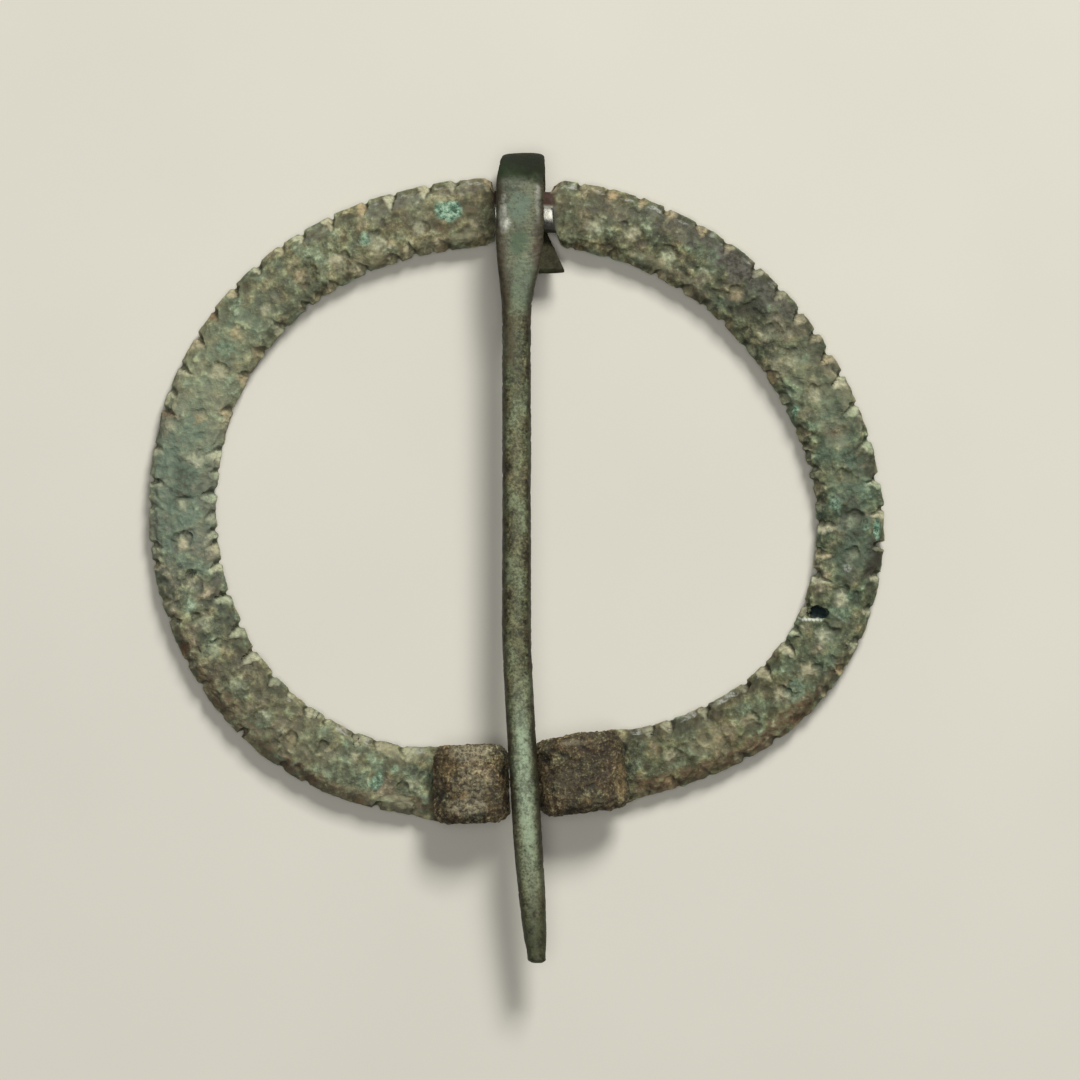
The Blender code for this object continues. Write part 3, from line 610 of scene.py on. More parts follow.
# Patches on the hoop, by the mask they fill: the seed of their ragged edges, and the bearing, across,
# length and width in millimetres and strength of each.
HOOP_PATCHES = {
    "turquoise": (51, (
        (103.5, 0.13, 1.7, 1.3, 1), (120.5, -0.05, 0.8, 0.9, 0.7), (145.5, 0.55, 1, 0.7, 0.4),
        (153, 0, 1.2, 1.4, 0.35), (18.3, -0.85, 0.8, 0.8, 0.9), (243.5, 0.1, 0.8, 1.2, 0.8),
        (246.3, -0.28, 0.6, 0.7, 0.5), (354.5, 0.85, 1, 0.6, 1), (355, 0.45, 0.6, 0.5, 0.5),
        (227, 0.8, 0.7, 0.8, 0.5), (340.2, 0.1, 1, 2, 0.4), (325.5, 0.25, 1.5, 1.2, 0.35),
        (359.5, -0.45, 1.9, 0.9, 0.5),
    )),
    "sea_green": (54, (
        (149, 0, 7, 2.2, 0.6), (175, 0.2, 8, 3.4, 1), (183, 0.2, 5, 3.4, 0.8), (358, 0.1, 11, 2.6, 0.8),
        (333, 0.2, 6, 2, 0.5), (12, 0.2, 5, 2.6, 0.5),
    )),
    "purple_grey": (57, (
        (100, 0.75, 3.5, 1.3, 0.9), (111, 0.75, 3.2, 1.4, 0.9), (117, 0.6, 2, 1.4, 0.8),
        (128, 0.8, 1.6, 1.2, 0.8), (46, 0.5, 5, 2.2, 0.8), (37, 0.5, 4, 2, 0.8), (60, 0.6, 4.5, 1.6, 0.7),
        (71, 0.3, 5, 1.6, 0.5), (195.5, -0.85, 1.3, 0.8, 0.8), (336, -0.8, 1.2, 1, 0.5),
    )),
    "stain": (60, (
        (38, 0.1, 2.2, 1.3, 0.8), (36.5, -0.25, 1.6, 0.8, 0.6), (292.5, 0, 1.2, 3.6, 0.9),
        (295, -0.6, 1.2, 1.2, 0.6), (193.3, -0.1, 0.6, 1, 0.7), (243.5, 0.42, 0.6, 0.5, 0.8),
        (357.7, -0.05, 0.6, 1.2, 0.5),
    )),
    "rust": (63, (
        (208, 0.9, 6, 1, 0.6), (231, 0.8, 3, 1.1, 0.9), (238, 0.85, 4, 1.1, 0.6), (302, 0.75, 2, 1.2, 0.9),
        (325.5, 0.8, 1.8, 1.2, 0.8), (11.6, 0.05, 0.8, 1.9, 0.9), (104.5, -0.3, 1.8, 0.7, 0.8),
        (99.5, 0.05, 1.5, 0.7, 0.6), (166.8, 0.6, 0.6, 1.2, 0.8), (97, -0.8, 1.2, 1.2, 0.7),
    )),
    "cream": (66, (
        (243, -0.9, 7, 0.9, 0.5), (103.5, 0.52, 3.4, 0.6, 0.7), (108.3, 0.12, 1.2, 0.6, 0.5),
        (164, 0.75, 1.4, 0.5, 0.5), (202.3, 0.6, 0.9, 0.9, 0.8), (214.5, -0.55, 1.6, 0.9, 0.4),
    )),
    "shaded": (73, (
        (305, -0.8, 8.5, 1.9, 0.62), (316, -0.8, 4.5, 1.8, 0.42), (350, 0, 4.5, 2.4, 0.5),
        (357, 0, 4, 2.2, 0.75), (350.5, 0.75, 3.2, 1.6, 1), (5, 0.75, 3.4, 1.5, 0.5),
        (25.5, 0.75, 3.4, 1.7, 0.65), (33, 0.75, 3.4, 1.7, 0.62), (40, 0.72, 3.4, 1.9, 0.82),
        (47, 0.7, 3.6, 2, 1.05), (54, 0.75, 3.6, 1.8, 0.85), (61, 0.75, 3.2, 1.5, 0.45),
        (41, 0, 4, 2.6, 0.6), (47, 0, 3, 2.2, 0.35), (75, 0, 4, 2, 0.25), (110, 0, 5.5, 1.8, 0.3),
        (126, 0.75, 5, 1.2, 0.42), (140, -0.75, 5.5, 1.4, 0.38), (142.5, 0.75, 3, 1.3, 0.6),
        (142, 0, 4, 2, 0.2), (177.5, 0, 3.2, 2.2, 0.7), (180, -0.75, 5.5, 1.5, 0.28),
        (199, -0.75, 4, 1.7, 0.55), (206, -0.75, 3.4, 1.6, 0.45), (219.5, -0.75, 4, 1.6, 0.4),
        (212, -0.75, 3, 1.4, 0.25), (82, 0.3, 2.2, 2.8, 0.35), (240, -0.8, 4.5, 1.4, 0.22),
        (107, 0, 4, 1.8, 0.15), (114.5, 0.75, 3, 1.3, 0.35),
    )),
    "lifted": (74, (
        (18.5, 0, 4, 2.2, 0.18), (25.5, -0.1, 3.5, 3.4, 0.18), (18.5, -0.75, 3, 1.2, 0.14),
        (60.5, -0.75, 3.5, 1.2, 0.28), (50, -0.75, 5, 1.2, 0.1), (100.5, -0.75, 3, 1.3, 0.28),
        (247.5, -0.75, 3, 1.2, 0.26), (247.5, 0.75, 3.2, 1.4, 0.42), (240.5, 0.75, 3, 1.2, 0.24),
        (11.5, 0, 2.6, 1.6, 0.28), (18.5, 0.75, 3, 1.5, 0.24), (121.5, -0.75, 3, 1.3, 0.22),
        (308.5, 0, 3, 2.2, 0.16),
    )),
    "brown_edge": (75, (
        (206, 0.75, 5, 1.4, 0.5), (216, 0.75, 8, 1.6, 0.9), (226, 0.78, 4, 1.3, 0.7),
        (233, 0.8, 4, 1.2, 0.6), (254, 0.6, 2.5, 1.8, 0.9), (300, 0.75, 6, 1.4, 1), (319, 0.75, 8, 1.6, 1),
        (328, 0.75, 5, 1.3, 0.7),
    )),
    "glint": (72, (
        (97.5, 0.93, 0.5, 0.28, 0.9), (99.2, 0.93, 0.6, 0.28, 0.9), (104.7, 0.92, 0.7, 0.28, 0.7),
        (109.6, 0.92, 0.4, 0.3, 0.9), (111.2, 0.92, 0.6, 0.3, 0.9), (116.5, 0.9, 0.4, 0.3, 0.6),
        (69.2, 0.9, 0.9, 0.4, 1), (74.5, 0.9, 0.8, 0.4, 1), (80, 0.9, 0.8, 0.4, 1), (64, 0.9, 1, 0.4, 1),
        (58.5, 0.88, 0.8, 0.42, 0.6), (52.9, 0.95, 0.4, 0.3, 0.9), (45.4, 0.93, 0.7, 0.3, 0.8),
        (39.3, 0.93, 0.5, 0.3, 0.8), (315, -0.97, 1.7, 0.32, 1.1), (306.3, -0.97, 1.2, 0.3, 1),
        (295.5, -0.97, 0.9, 0.3, 0.9), (234.3, -0.96, 1.5, 0.35, 0.9), (239.6, -0.95, 0.5, 0.4, 0.8),
        (249.8, -0.95, 1.3, 0.35, 0.7), (322.5, -0.93, 0.6, 0.35, 0.8), (74.5, -0.25, 1.3, 0.3, 0.4),
        (347.9, 0, 0.4, 0.6, 0.8), (221.9, -0.85, 0.4, 0.3, 0.8),
    )),
    # The pit is near-black teal inside: teal salts and painted shade. Along its rim runs a painted highlight.
    "hole": (70, (
        (339, -0.68, 0.5, 0.8, 1.2), (339.1, -0.56, 0.52, 0.9, 1.2), (339.2, -0.44, 0.5, 0.8, 1.2),
    )),
    "hole_rim_painted_highlight": (71, (
        (336.6, -0.92, 0.3, 0.5, 1.1), (336.9, -0.8, 0.28, 0.5, 1.1), (337.2, -0.68, 0.26, 0.5, 1.1),
        (337.5, -0.56, 0.26, 0.5, 1.1), (337.8, -0.44, 0.26, 0.5, 1.1), (338, -0.32, 0.26, 0.4, 0.9),
    )),
}

# Patches on the rolls, by the mask they fill: seed, and X, Y, length and width in millimetres and strength.
# Pale patches are paler crust with painted highlight along the rims and middles; dark ones are darker crust
# with painted shade where the rolls curve away and where the pin's shadow falls.
ROLL_PATCHES = {
    "roll_pale_and_painted_highlight": (67, (
        (-3.1, -17, 2.6, 2.4, 0.9), (-3.4, -21, 3, 1, 0.8), (-3, -19.2, 2.6, 2.6, 0.5),
        (4, -16.6, 2.3, 0.5, 1), (3.4, -19.2, 1.6, 2, 0.35),
    )),
    "roll_dark_and_painted_shade": (68, (
        (-5.3, -19, 1, 5.5, 0.7), (-1.2, -20.5, 1.2, 2.4, 0.7), (2, -18.2, 1.2, 4.2, 0.9),
        (5.3, -18.2, 1.9, 3.2, 0.6), (4.8, -20.9, 1.6, 0.8, 0.5), (4.6, -19, 8, 7, 0.75),
    )),
    "roll_warm": (69, (
        (-3.9, -20.1, 1.3, 0.8, 0.8), (-2, -20.2, 0.7, 0.7, 0.8), (-4.7, -18, 1.2, 2.2, 0.5),
        (7.2, -18.9, 0.7, 3.2, 0.55), (4.9, -20.5, 1.2, 0.8, 0.4),
    )),
}

# Sides of the hoop with a shade of their own: bearing and spread in degrees.
SIDE_SHADES = {
    "buff_side": (96.0, 36.0),
    "worn_side": (228.0, 22.0),
    "pale_side": (160.0, 22.0),
    "cool_side": (180.0, 17.0),
    "green_side": (0.0, 45.0),
    "olive_side": (-52.0, 26.0),
}


def from_bottom(bearing):
    """Degrees round the hoop from its bottom, 0 to 360."""
    return np.mod(bearing + 90.0, 360.0)


def hoop_patches(arm):
    """Masks of the patches on the decorated face of the band, placed by bearing and across."""
    turns = from_bottom(arm.bearing)[:, None]
    shown = arm.on_top * (arm.turn[:, None] == 0.0)

    def offsets(bearing, across):
        turn = np.radians(turns - from_bottom(bearing))
        return turn * HOOP_RADIUS, (arm.across - across) * BAND_HALF_WIDTH

    points = along_strip(arm.walk[:, None], arm.across)
    masks = soft_patches(HOOP_PATCHES, points, HOOP_FADE, offsets)
    return {name: mask * shown for name, mask in masks.items()}


def roll_patches(arm, base):
    """Masks of the patches on the rolls, placed by X and Y in millimetres."""
    def offsets(x_mm, y_mm):
        return base[..., 0] - x_mm * MM, base[..., 1] - y_mm * MM

    masks = soft_patches(ROLL_PATCHES, base, ROLL_FADE, offsets)
    return {name: mask * (arm.turn[:, None] > ROLL_FACE_START) for name, mask in masks.items()}


def on_arm(arm, marks):
    """The marks that lie on this arm, each with how far along the strip it is."""
    turns = arm.side * from_bottom(arm.bearing[:BAND_ROWS])
    for bearing, *rest in marks:
        turn = arm.side * from_bottom(bearing)
        if turns[0] < turn < turns[-1]:
            yield np.interp(turn, turns, arm.walk[:BAND_ROWS]), rest


def lay_mark(fields, rows, strength, tone):
    """Adds a coloured mark where it is stronger than those already there."""
    stronger = strength > fields["mark"][rows]
    fields["tone"][rows] = np.where(stronger, tone, fields["tone"][rows])
    fields["mark"][rows] = np.where(stronger, strength, fields["mark"][rows])


def cut_nicks(arm, fields, settings, source):
    """Nicks along both edges, each a lopsided V.

    A nick has a short steep wall towards the neck in painted shade, and a long pale face away from it,
    pale partly in its own colour and partly as painted light, since the wall is not given that colour.
    """
    strip = along_strip(arm.walk[:, None], arm.across)
    uneven, ragged = (
        waver * layered_noise(strip, lump, NICK_SEED, layers=2) for waver, lump in (FACE_WAVER, END_WAVER)
    )
    for edge, marks in ((1.0, OUTER_NICKS), (-1.0, INNER_NICKS)):
        stretch = 1.0 + edge * BAND_HALF_WIDTH / HOOP_RADIUS
        for place, (face_mm, length_mm, strength, tone, bite_mm) in on_arm(arm, marks):
            length = length_mm * MM * settings.nick_scale
            face = face_mm * MM * settings.nick_scale / stretch
            wall = settings.nick_wall * source.uniform(*WALL_SPREAD) / stretch
            depth = settings.nick_depth * mix(FAINT_NICK_DEPTH, 1.0, strength) * source.uniform(*DEPTH_SPREAD)
            slant = 0.5 * face / length * source.uniform(*SLANT_SPREAD)
            rows = np.abs(arm.walk - place) < NICK_REACH
            toward_edge = edge * arm.across[rows]
            inward = arm.half_width[rows, None] - edge * arm.v[rows]
            offset = arm.walk[rows, None] - place + 0.5 * face - slant * inward + uneven[rows]
            reach = 1.0 - (inward + ragged[rows]) / length
            slope = reach - np.where(offset < 0.0, -offset / wall, offset / face)
            bite = smooth_step(*BITE_ALONG, np.abs(offset + BITE_MIDDLE * wall) / wall)
            bite = bite * smooth_step(*BITE_INWARD, inward)
            on_face = smooth_step(*FACE_EDGE, offset)
            shown = smooth_step(*NICK_EDGE, slope) * (toward_edge > 0.0) * arm.on_top[rows]
            # The wall's dark is painted shade; the pale mark goes on the lit face only, so it is partly
            # painted light.
            for name, value in (
                ("cut", depth * np.clip(slope, 0.0, 1.0)),
                ("inset", (toward_edge > 0.5) * (bite_mm * MM * bite)),
                ("dark", shown * (1.0 - on_face) * (WALL_SHADE + WALL_SHADE_PER_MM * bite_mm)),
            ):
                fields[name][rows] = np.maximum(fields[name][rows], value)
            lay_mark(fields, rows, shown * on_face * strength, tone)


def punch_marks(arm, fields, settings, source):
    """Punch marks down the middle, most of them a ring round a low boss."""
    strip = along_strip(arm.walk[:, None], arm.across)
    uneven = RING_WAVER * layered_noise(strip, RING_LUMP, PUNCH_SEED, layers=2)
    for place, (across, radius_mm, strength, tone, ring, boss) in on_arm(arm, PUNCH_MARKS):
        radius = radius_mm * MM
        depth = settings.punch_depth * mix(*FAINT_TO_DARK, ring) * source.uniform(*PUNCH_SPREAD)
        rows = np.abs(arm.walk - place) < PUNCH_REACH * radius
        along = (arm.walk[rows, None] - place) / radius
        beside = (arm.v[rows] - across * BAND_HALF_WIDTH) / radius
        distance = np.hypot(along, beside) + uneven[rows]
        bowl = np.exp(-(distance / BOWL_SIZE) ** 4)
        groove = np.exp(-((distance - 1.0) / GROOVE_WIDTH) ** 2)
        # On the left arm the slant runs along the strip only.
        level, rise_along, rise_beside = PUNCH_SLANT
        slant = level + rise_along * along + rise_beside * beside * (arm.side < 0.0)
        groove = groove * np.clip(slant, *GROOVE_RANGE)
        fields["punched"][rows] += depth * mix(bowl, groove, boss)
        # The ring's groove is darkened with painted shade.
        fields["ring"][rows] = np.maximum(fields["ring"][rows], ring * groove * arm.on_top[rows])
        shown = PUNCH_COLOUR * strength * smooth_step(*PUNCH_FADE, distance) * arm.on_top[rows]
        lay_mark(fields, rows, shown, tone)


def crust_relief(arm, points, settings):
    """How far the corroded skin stands below its own high points, in metres, never above them."""
    rolled = arm.lead_in[:, None] ** 2
    push = np.stack([value_noise(points, lump=0.8 * MM, seed=seed) for seed in (11, 12, 13)], axis=-1)
    bent = points + CRUST_PUSH * push
    lengthwise = along_strip(STREAK_SQUEEZE * arm.walk[:, None], arm.v, width=1.0)
    near_neck = smooth_step(STREAKS_END, STREAKS_FADE, arm.walk)[:, None] * arm.on_top
    parts = (
        layered_noise(bent, lump=1.0 * MM, seed=21, layers=4, fade=0.62),
        value_noise(bent, lump=0.42 * MM, seed=37),
        np.clip(value_noise(bent, lump=0.6 * MM, seed=41) - PIT_LEVEL, 0.0, 1.0),
        (
            value_noise(bent, lump=0.28 * MM, seed=31)
            + FINE_GRAIN_SHARE * value_noise(points, lump=0.17 * MM, seed=33)
        ),
        near_neck * (
            value_noise(lengthwise, lump=0.2 * MM, seed=35) + value_noise(lengthwise, lump=0.33 * MM, seed=36)
        ),
    )
    band, roll = (
        sum(weight * part for weight, part in zip(weights, parts)) for weights in (BAND_RELIEF, ROLL_RELIEF)
    )
    relief = settings.crust_depth * mix(band, roll, rolled)
    relief = np.minimum(relief - np.percentile(relief, HIGHEST_PERCENT), 0.0)
    calm = CALM_SHARE * np.exp(-((arm.bearing - CALM_BEARING) / CALM_SPREAD) ** 2)[:, None]
    return relief * (1.0 - calm) * mix(UNDERSIDE_RELIEF, 1.0, np.maximum(arm.on_top, rolled))


def side_share(arm, bearing, spread):
    """A mask that fades to both sides of a bearing, on the decorated face."""
    return np.exp(-((arm.bearing - bearing) / spread) ** 2)[:, None] * arm.on_top


def skin_loss(arm, fields, hole, seed):
    """How far marks, dents and rounded ends lower the strip's top, and how far they draw in its edges."""
    strip = along_strip(arm.walk[:, None], arm.across)
    strip = strip + DENT_PUSH * value_noise(strip, lump=0.9 * MM, seed=seed + 9)[..., None]
    dents = layered_noise(strip, lump=1.7 * MM, seed=seed + 7, layers=2)
    outer, inner = (
        layered_noise(along_strip(arm.walk, edge, EDGES_APART)[:, None], lump=1.1 * MM, seed=seed + step)
        for edge, step in ((1.0, 5), (-1.0, 6))
    )
    end = arm.shoulder_rounding()
    lowered = fields["punched"] + DENT_DEPTH * (1.0 + dents) + END_DROP * end
    cut = np.maximum(fields["cut"], HOLE_DEPTH * hole) + lowered * arm.on_top
    inset = fields["inset"] + EDGE_WAVER * (1.0 + np.where(arm.across > 0.0, outer, inner)) + END_INSET * end
    return cut, inset


def hoop_arm(arm, settings, seed):
    """Points and surface masks of one arm."""
    source = np.random.default_rng(seed)
    names = ("cut", "punched", "inset", "mark", "tone", "dark", "ring")
    fields = {name: np.zeros_like(arm.across) for name in names}
    cut_nicks(arm, fields, settings, source)
    punch_marks(arm, fields, settings, source)
    masks = hoop_patches(arm)
    base = arm.shape(*skin_loss(arm, fields, masks["hole"], seed))
    normals = grid_normals(base)
    if np.sum(normals[:, BAND_COLUMNS[0] // 2, 2]) < 0.0:
        normals = -normals

    # The neck is worn smooth, and the cut faces are smoother than the crust.
    relief = crust_relief(arm, base, settings)
    neck = arm.neck_share()
    worn = np.maximum(neck, smooth_step(NECK_WEAR_LENGTH, 0.0, arm.walk)[:, None])
    worn = np.maximum(worn, CUT_SMOOTHNESS * np.clip(fields["cut"] / SMOOTH_CUT_DEPTH, 0.0, 1.0))
    points = base + normals * (relief * (1.0 - NECK_SMOOTHNESS * worn))[..., None]

    rolled = smooth_step(arm.covered_from, arm.covered_from + ROLL_COVER_EASE, arm.walk)[:, None]
    neck_outer = smooth_step(*NECK_RUST_EDGE, arm.across)
    masks.update(roll_patches(arm, base))
    masks.update({name: side_share(arm, *place) for name, place in SIDE_SHADES.items()})
    masks.update({
        "mark": fields["mark"],
        "tone": fields["tone"],
        "ring": fields["ring"],
        "nick_wall_painted_shade": np.clip(fields["dark"], 0.0, 1.0),
        "hollow": np.clip(-relief / (settings.crust_depth * DEEPEST_CRUST), 0.0, 1.0),
        "underside": 1.0 - np.maximum(smooth_step(*UNDERSIDE_EDGE, arm.height_share), rolled),
        "roll": rolled,
        "neck": neck * (1.0 - neck_outer),
        "neck_rust": np.maximum(neck, arm.shoulder_rounding() * (arm.side < 0.0)) * neck_outer,
    })
    return points, {name: np.broadcast_to(mask, arm.across.shape) for name, mask in masks.items()}


# Pin ------------------------------------------------------------------------------------------------

# Patches on the loop's front, by the mask they fill: seed, and Y from the neck, X from the pin's middle,
# length along Y and width in millimetres and strength.
LOOP_PATCHES = {
    "loop_teal": (91, (
        (0.1, -0.05, 1.9, 1.7, 0.9), (-5.4, 0.2, 3.2, 1.7, 0.5),
    )),
    "loop_green": (94, (
        (-2.3, 0.05, 1.9, 1.3, 1), (-4.9, 0, 3.6, 2.2, 0.35), (1.5, -0.5, 1, 1.2, 0.5),
    )),
    # Painted highlights on the loop's front.
    "loop_painted_highlight": (92, (
        (-0.3, -1.15, 2.2, 0.6, 1), (-0.9, -0.95, 0.9, 0.8, 1.2), (0.6, 1.25, 2.4, 0.35, 0.7),
        (1.9, -0.2, 0.9, 2.4, 0.22),
    )),
    "loop_brown": (93, (
        (-2.9, -1.35, 3.6, 0.9, 1.1), (-2.9, 1.3, 3.4, 0.9, 1.1), (1.6, -1.5, 3, 0.6, 0.8),
        (1, 1.55, 4, 0.5, 0.8), (-5.8, -1, 3.8, 0.9, 0.9), (-6.2, 0.8, 3.5, 0.8, 0.7),
        (-8.6, -0.7, 4, 0.8, 0.8),
    )),
}


def pin_rows(neck_y):
    """Places, half widths, half thicknesses and squareness from the tail's end to the pin's tip."""
    def shares(length, **ends):
        return np.linspace(0.0, 1.0, max(int(length / PIN_ROW_LENGTH), 2), **ends)

    wrap_x = PIN_X + WRAP_SIDE_SHIFT
    tail = shares(TAIL_START - TAIL_END, endpoint=False)
    under = shares(LOOP_STRAIGHT - TAIL_START, endpoint=False)
    round_end = shares(math.pi * LOOP_BEND_REACH, endpoint=False)
    angle = math.pi * (round_end - 0.5)
    front = smooth_step(0.5, 1.0, round_end)

    shank_start = neck_y + LOOP_STRAIGHT
    tip_y = TIP_Y + CAP_BULGE
    y = mix(shank_start, tip_y, shares(shank_start - tip_y))
    shank = 1.0 - smooth_step(SHANK_START_Y, SHOULDER_START_Y, y)
    taper = 1.0 - smooth_step(TIP_Y, TIP_TAPER_Y, y)
    lean = np.clip((BEND_START_Y - y) / (BEND_START_Y - TIP_Y), 0.0, 1.0) ** LEAN_POWER
    slimness = mix(1.0, TIP_HALF_WIDTH / SHANK_RADIUS, 0.5 * taper + 0.5 * taper ** TIP_POWER)
    blunting = TIP_CHAMFER * np.clip(1.0 - (y - tip_y) / TIP_CHAMFER, 0.0, 1.0) ** 2

    # X, Y, Z, half width, half thickness and squareness of the tail, the wrap, the round end and the shank.
    stretches = (
        (
            wrap_x + TAIL_SIDE_SHIFT * (1.0 - tail),
            neck_y + mix(TAIL_END, TAIL_START, tail),
            LOOP_BOTTOM + TAIL_RISE * (1.0 - tail) ** TAIL_POWER,
            mix(STRIP_HALF_WIDTH, WRAP_HALF_WIDTH, tail),
            TAIL_HALF_THICKNESS,
            STRIP_SQUARENESS,
        ),
        (
            wrap_x,
            neck_y + mix(TAIL_START, LOOP_STRAIGHT, under),
            LOOP_BOTTOM,
            WRAP_HALF_WIDTH,
            TAIL_HALF_THICKNESS,
            STRIP_SQUARENESS,
        ),
        (
            PIN_X + WRAP_SIDE_SHIFT * (1.0 - front),
            shank_start + LOOP_BEND_REACH * np.cos(angle),
            mix(LOOP_BOTTOM, LOOP_TOP, 0.5 + 0.5 * np.sin(angle)),
            mix(WRAP_HALF_WIDTH, STRIP_HALF_WIDTH, front) - BEND_NARROWING * np.cos(angle) ** 2,
            mix(TAIL_HALF_THICKNESS, STRIP_HALF_THICKNESS, round_end),
            STRIP_SQUARENESS - BEND_ROUNDING * np.cos(angle) ** 2,
        ),
        (
            PIN_X * (1.0 - shank) + TIP_SIDE_SHIFT * lean,
            y,
            mix(LOOP_TOP, SHANK_HEIGHT, shank) - TIP_DROOP * taper,
            mix(STRIP_HALF_WIDTH, SHANK_RADIUS, shank) * slimness - blunting,
            mix(STRIP_HALF_THICKNESS, SHANK_HALF_THICKNESS, shank) * slimness - blunting,
            mix(STRIP_SQUARENESS, SHANK_SQUARENESS, shank),
        ),
    )
    rows = np.hstack([np.array(np.broadcast_arrays(*stretch)) for stretch in stretches])
    return rows[:3].T, rows[3], rows[4], rows[5]


def oval_ring(half_width, half_thickness, squareness):
    """Evenly spaced points round a rounded section: an ellipse at squareness 2, boxier as it grows."""
    angle = np.linspace(0.0, 2.0 * math.pi, PIN_OUTLINE_STEPS + 1)
    across, through = (
        half * np.sign(turn) * np.abs(turn) ** (2.0 / squareness)
        for half, turn in ((half_width, np.cos(angle)), (half_thickness, np.sin(angle)))
    )
    lengths = np.concatenate(([0.0], np.cumsum(np.hypot(np.diff(across), np.diff(through)))))
    wanted = np.linspace(0.0, lengths[-1], PIN_COLUMNS, endpoint=False)
    return np.interp(wanted, lengths, across), np.interp(wanted, lengths, through)


def loop_patches(base, neck_y):
    """Masks of the patches on the loop's front, placed by Y from the neck and X from the pin's middle."""
    def offsets(y_mm, x_mm):
        return base[..., 1] - neck_y - y_mm * MM, base[..., 0] - PIN_X - x_mm * MM

    return soft_patches(LOOP_PATCHES, base, LOOP_FADE, offsets)


def pin_shape(neck_y, settings):
    """Points and surface masks of the pin."""
    place, half_width, half_thickness, squareness = pin_rows(neck_y)
    heading = np.gradient(place, axis=0)
    heading[:, 0] = 0.0
    heading = unit(heading)
    face = np.stack([np.zeros(len(place)), -heading[:, 2], heading[:, 1]], axis=1)
    rings = np.array([oval_ring(*row) for row in zip(half_width, half_thickness, squareness)])
    across = rings[:, 0]
    through = rings[:, 1]
    side = np.array([1.0, 0.0, 0.0])
    base = place[:, None, :] + across[..., None] * side + through[..., None] * face[:, None, :]
    normals = grid_normals(base)
    if np.sum(normals * (base - base.mean(axis=1, keepdims=True))) < 0.0:
        normals = -normals

    sideways = np.abs(across) / half_width[:, None]
    blows = value_noise(base * BLOW_SQUEEZE, lump=1.5 * MM, seed=71)
    skin = layered_noise(base, lump=0.5 * MM, seed=74)
    push = np.stack([value_noise(base, lump=0.5 * MM, seed=seed) for seed in (84, 85, 86)], axis=-1)
    bent = base + PIN_PIT_PUSH * push
    pits = np.clip(layered_noise(bent, lump=0.4 * MM, seed=78, layers=2) - PIN_PIT_LEVEL, 0.0, 1.0)
    worn_edge = np.clip(layered_noise(bent, lump=0.45 * MM, seed=82), 0.0, 1.0)
    worn_edge = worn_edge * smooth_step(*FLANK_WEAR, sideways)
    rough = sum(weight * part for weight, part in zip(PIN_RELIEF, (skin, pits, worn_edge)))
    relief = settings.hammer_depth * blows + settings.skin_depth * rough
    relief = relief - relief.max()
    points = base + normals * relief[..., None]

    y = base[..., 1]
    ragged_y = y - neck_y + PIN_EDGE_WAVER * skin
    slanted_y = ragged_y + BEND_TOP_SLANT * (base[..., 0] - PIN_X)
    upper = smooth_step(*UPPER_FACE, normals[..., 2])
    in_front = (np.arange(len(place)) > np.argmax(place[:, 1]))[:, None] * np.ones_like(y)
    # The brown runs down over the sides; the other patches stay on the upper face.
    masks = {
        name: mask * in_front * (1.0 if name == "loop_brown" else upper)
        for name, mask in loop_patches(base, neck_y).items()
    }
    masks.update({
        # Painted light and shade across the pin: dark flanks with brown flecks, and a paler crest.
        "flank_flecks_and_painted_shade": smooth_step(*FLANK_EDGE, sideways + FLANK_WAVER * skin),
        "crest": 1.0 - smooth_step(*CREST_EDGE, sideways),
        "hollow": np.clip(-relief / (settings.skin_depth * DEEPEST_SKIN), 0.0, 1.0),
        "pit": np.clip(pits * PIT_SHADE, 0.0, 1.0),
        "loop_front": smooth_step(*LOOP_FRONT, y - neck_y) * upper * in_front,
        "bend_patina_and_painted_shade": smooth_step(*BEND_FADE, ragged_y) * in_front,
        "bend_top_painted_shade": smooth_step(*BEND_TOP_FADE, slanted_y) * in_front,
        # The tail under the neck is given painted shade.
        "tail": 1.0 - in_front,
        "tip": smooth_step(*TIP_STAIN, y - TIP_Y),
        # A painted highlight down the middle of the shank.
        "shank_painted_highlight": (
            smooth_step(*BRIGHT_START, y)
            * smooth_step(*BRIGHT_END, y - TIP_Y)
            * smooth_step(*BRIGHT_WIDTH, sideways)
        ),
    })
    return points, masks


# Meshes ---------------------------------------------------------------------------------------------


def with_end_rings(rows, masks, at_start):
    """Adds rings that close over the last row of a strip, or over its first row."""
    if at_start:
        rows, masks = with_end_rings(rows[::-1], {name: mask[::-1] for name, mask in masks.items()}, False)
        return rows[::-1], {name: mask[::-1] for name, mask in masks.items()}
    edge = rows[-1]
    centre = edge.mean(axis=0)
    heading = unit((rows[-1] - rows[-4]).mean(axis=0))
    rings = [
        centre + (edge - centre) * scale + heading * CAP_BULGE * math.sqrt(1.0 - scale * scale)
        for scale in CAP_RINGS
    ]
    count = len(CAP_RINGS)
    masks = {name: np.vstack([mask, np.repeat(mask[-1:], count, axis=0)]) for name, mask in masks.items()}
    return np.concatenate([rows, np.array(rings)]), masks


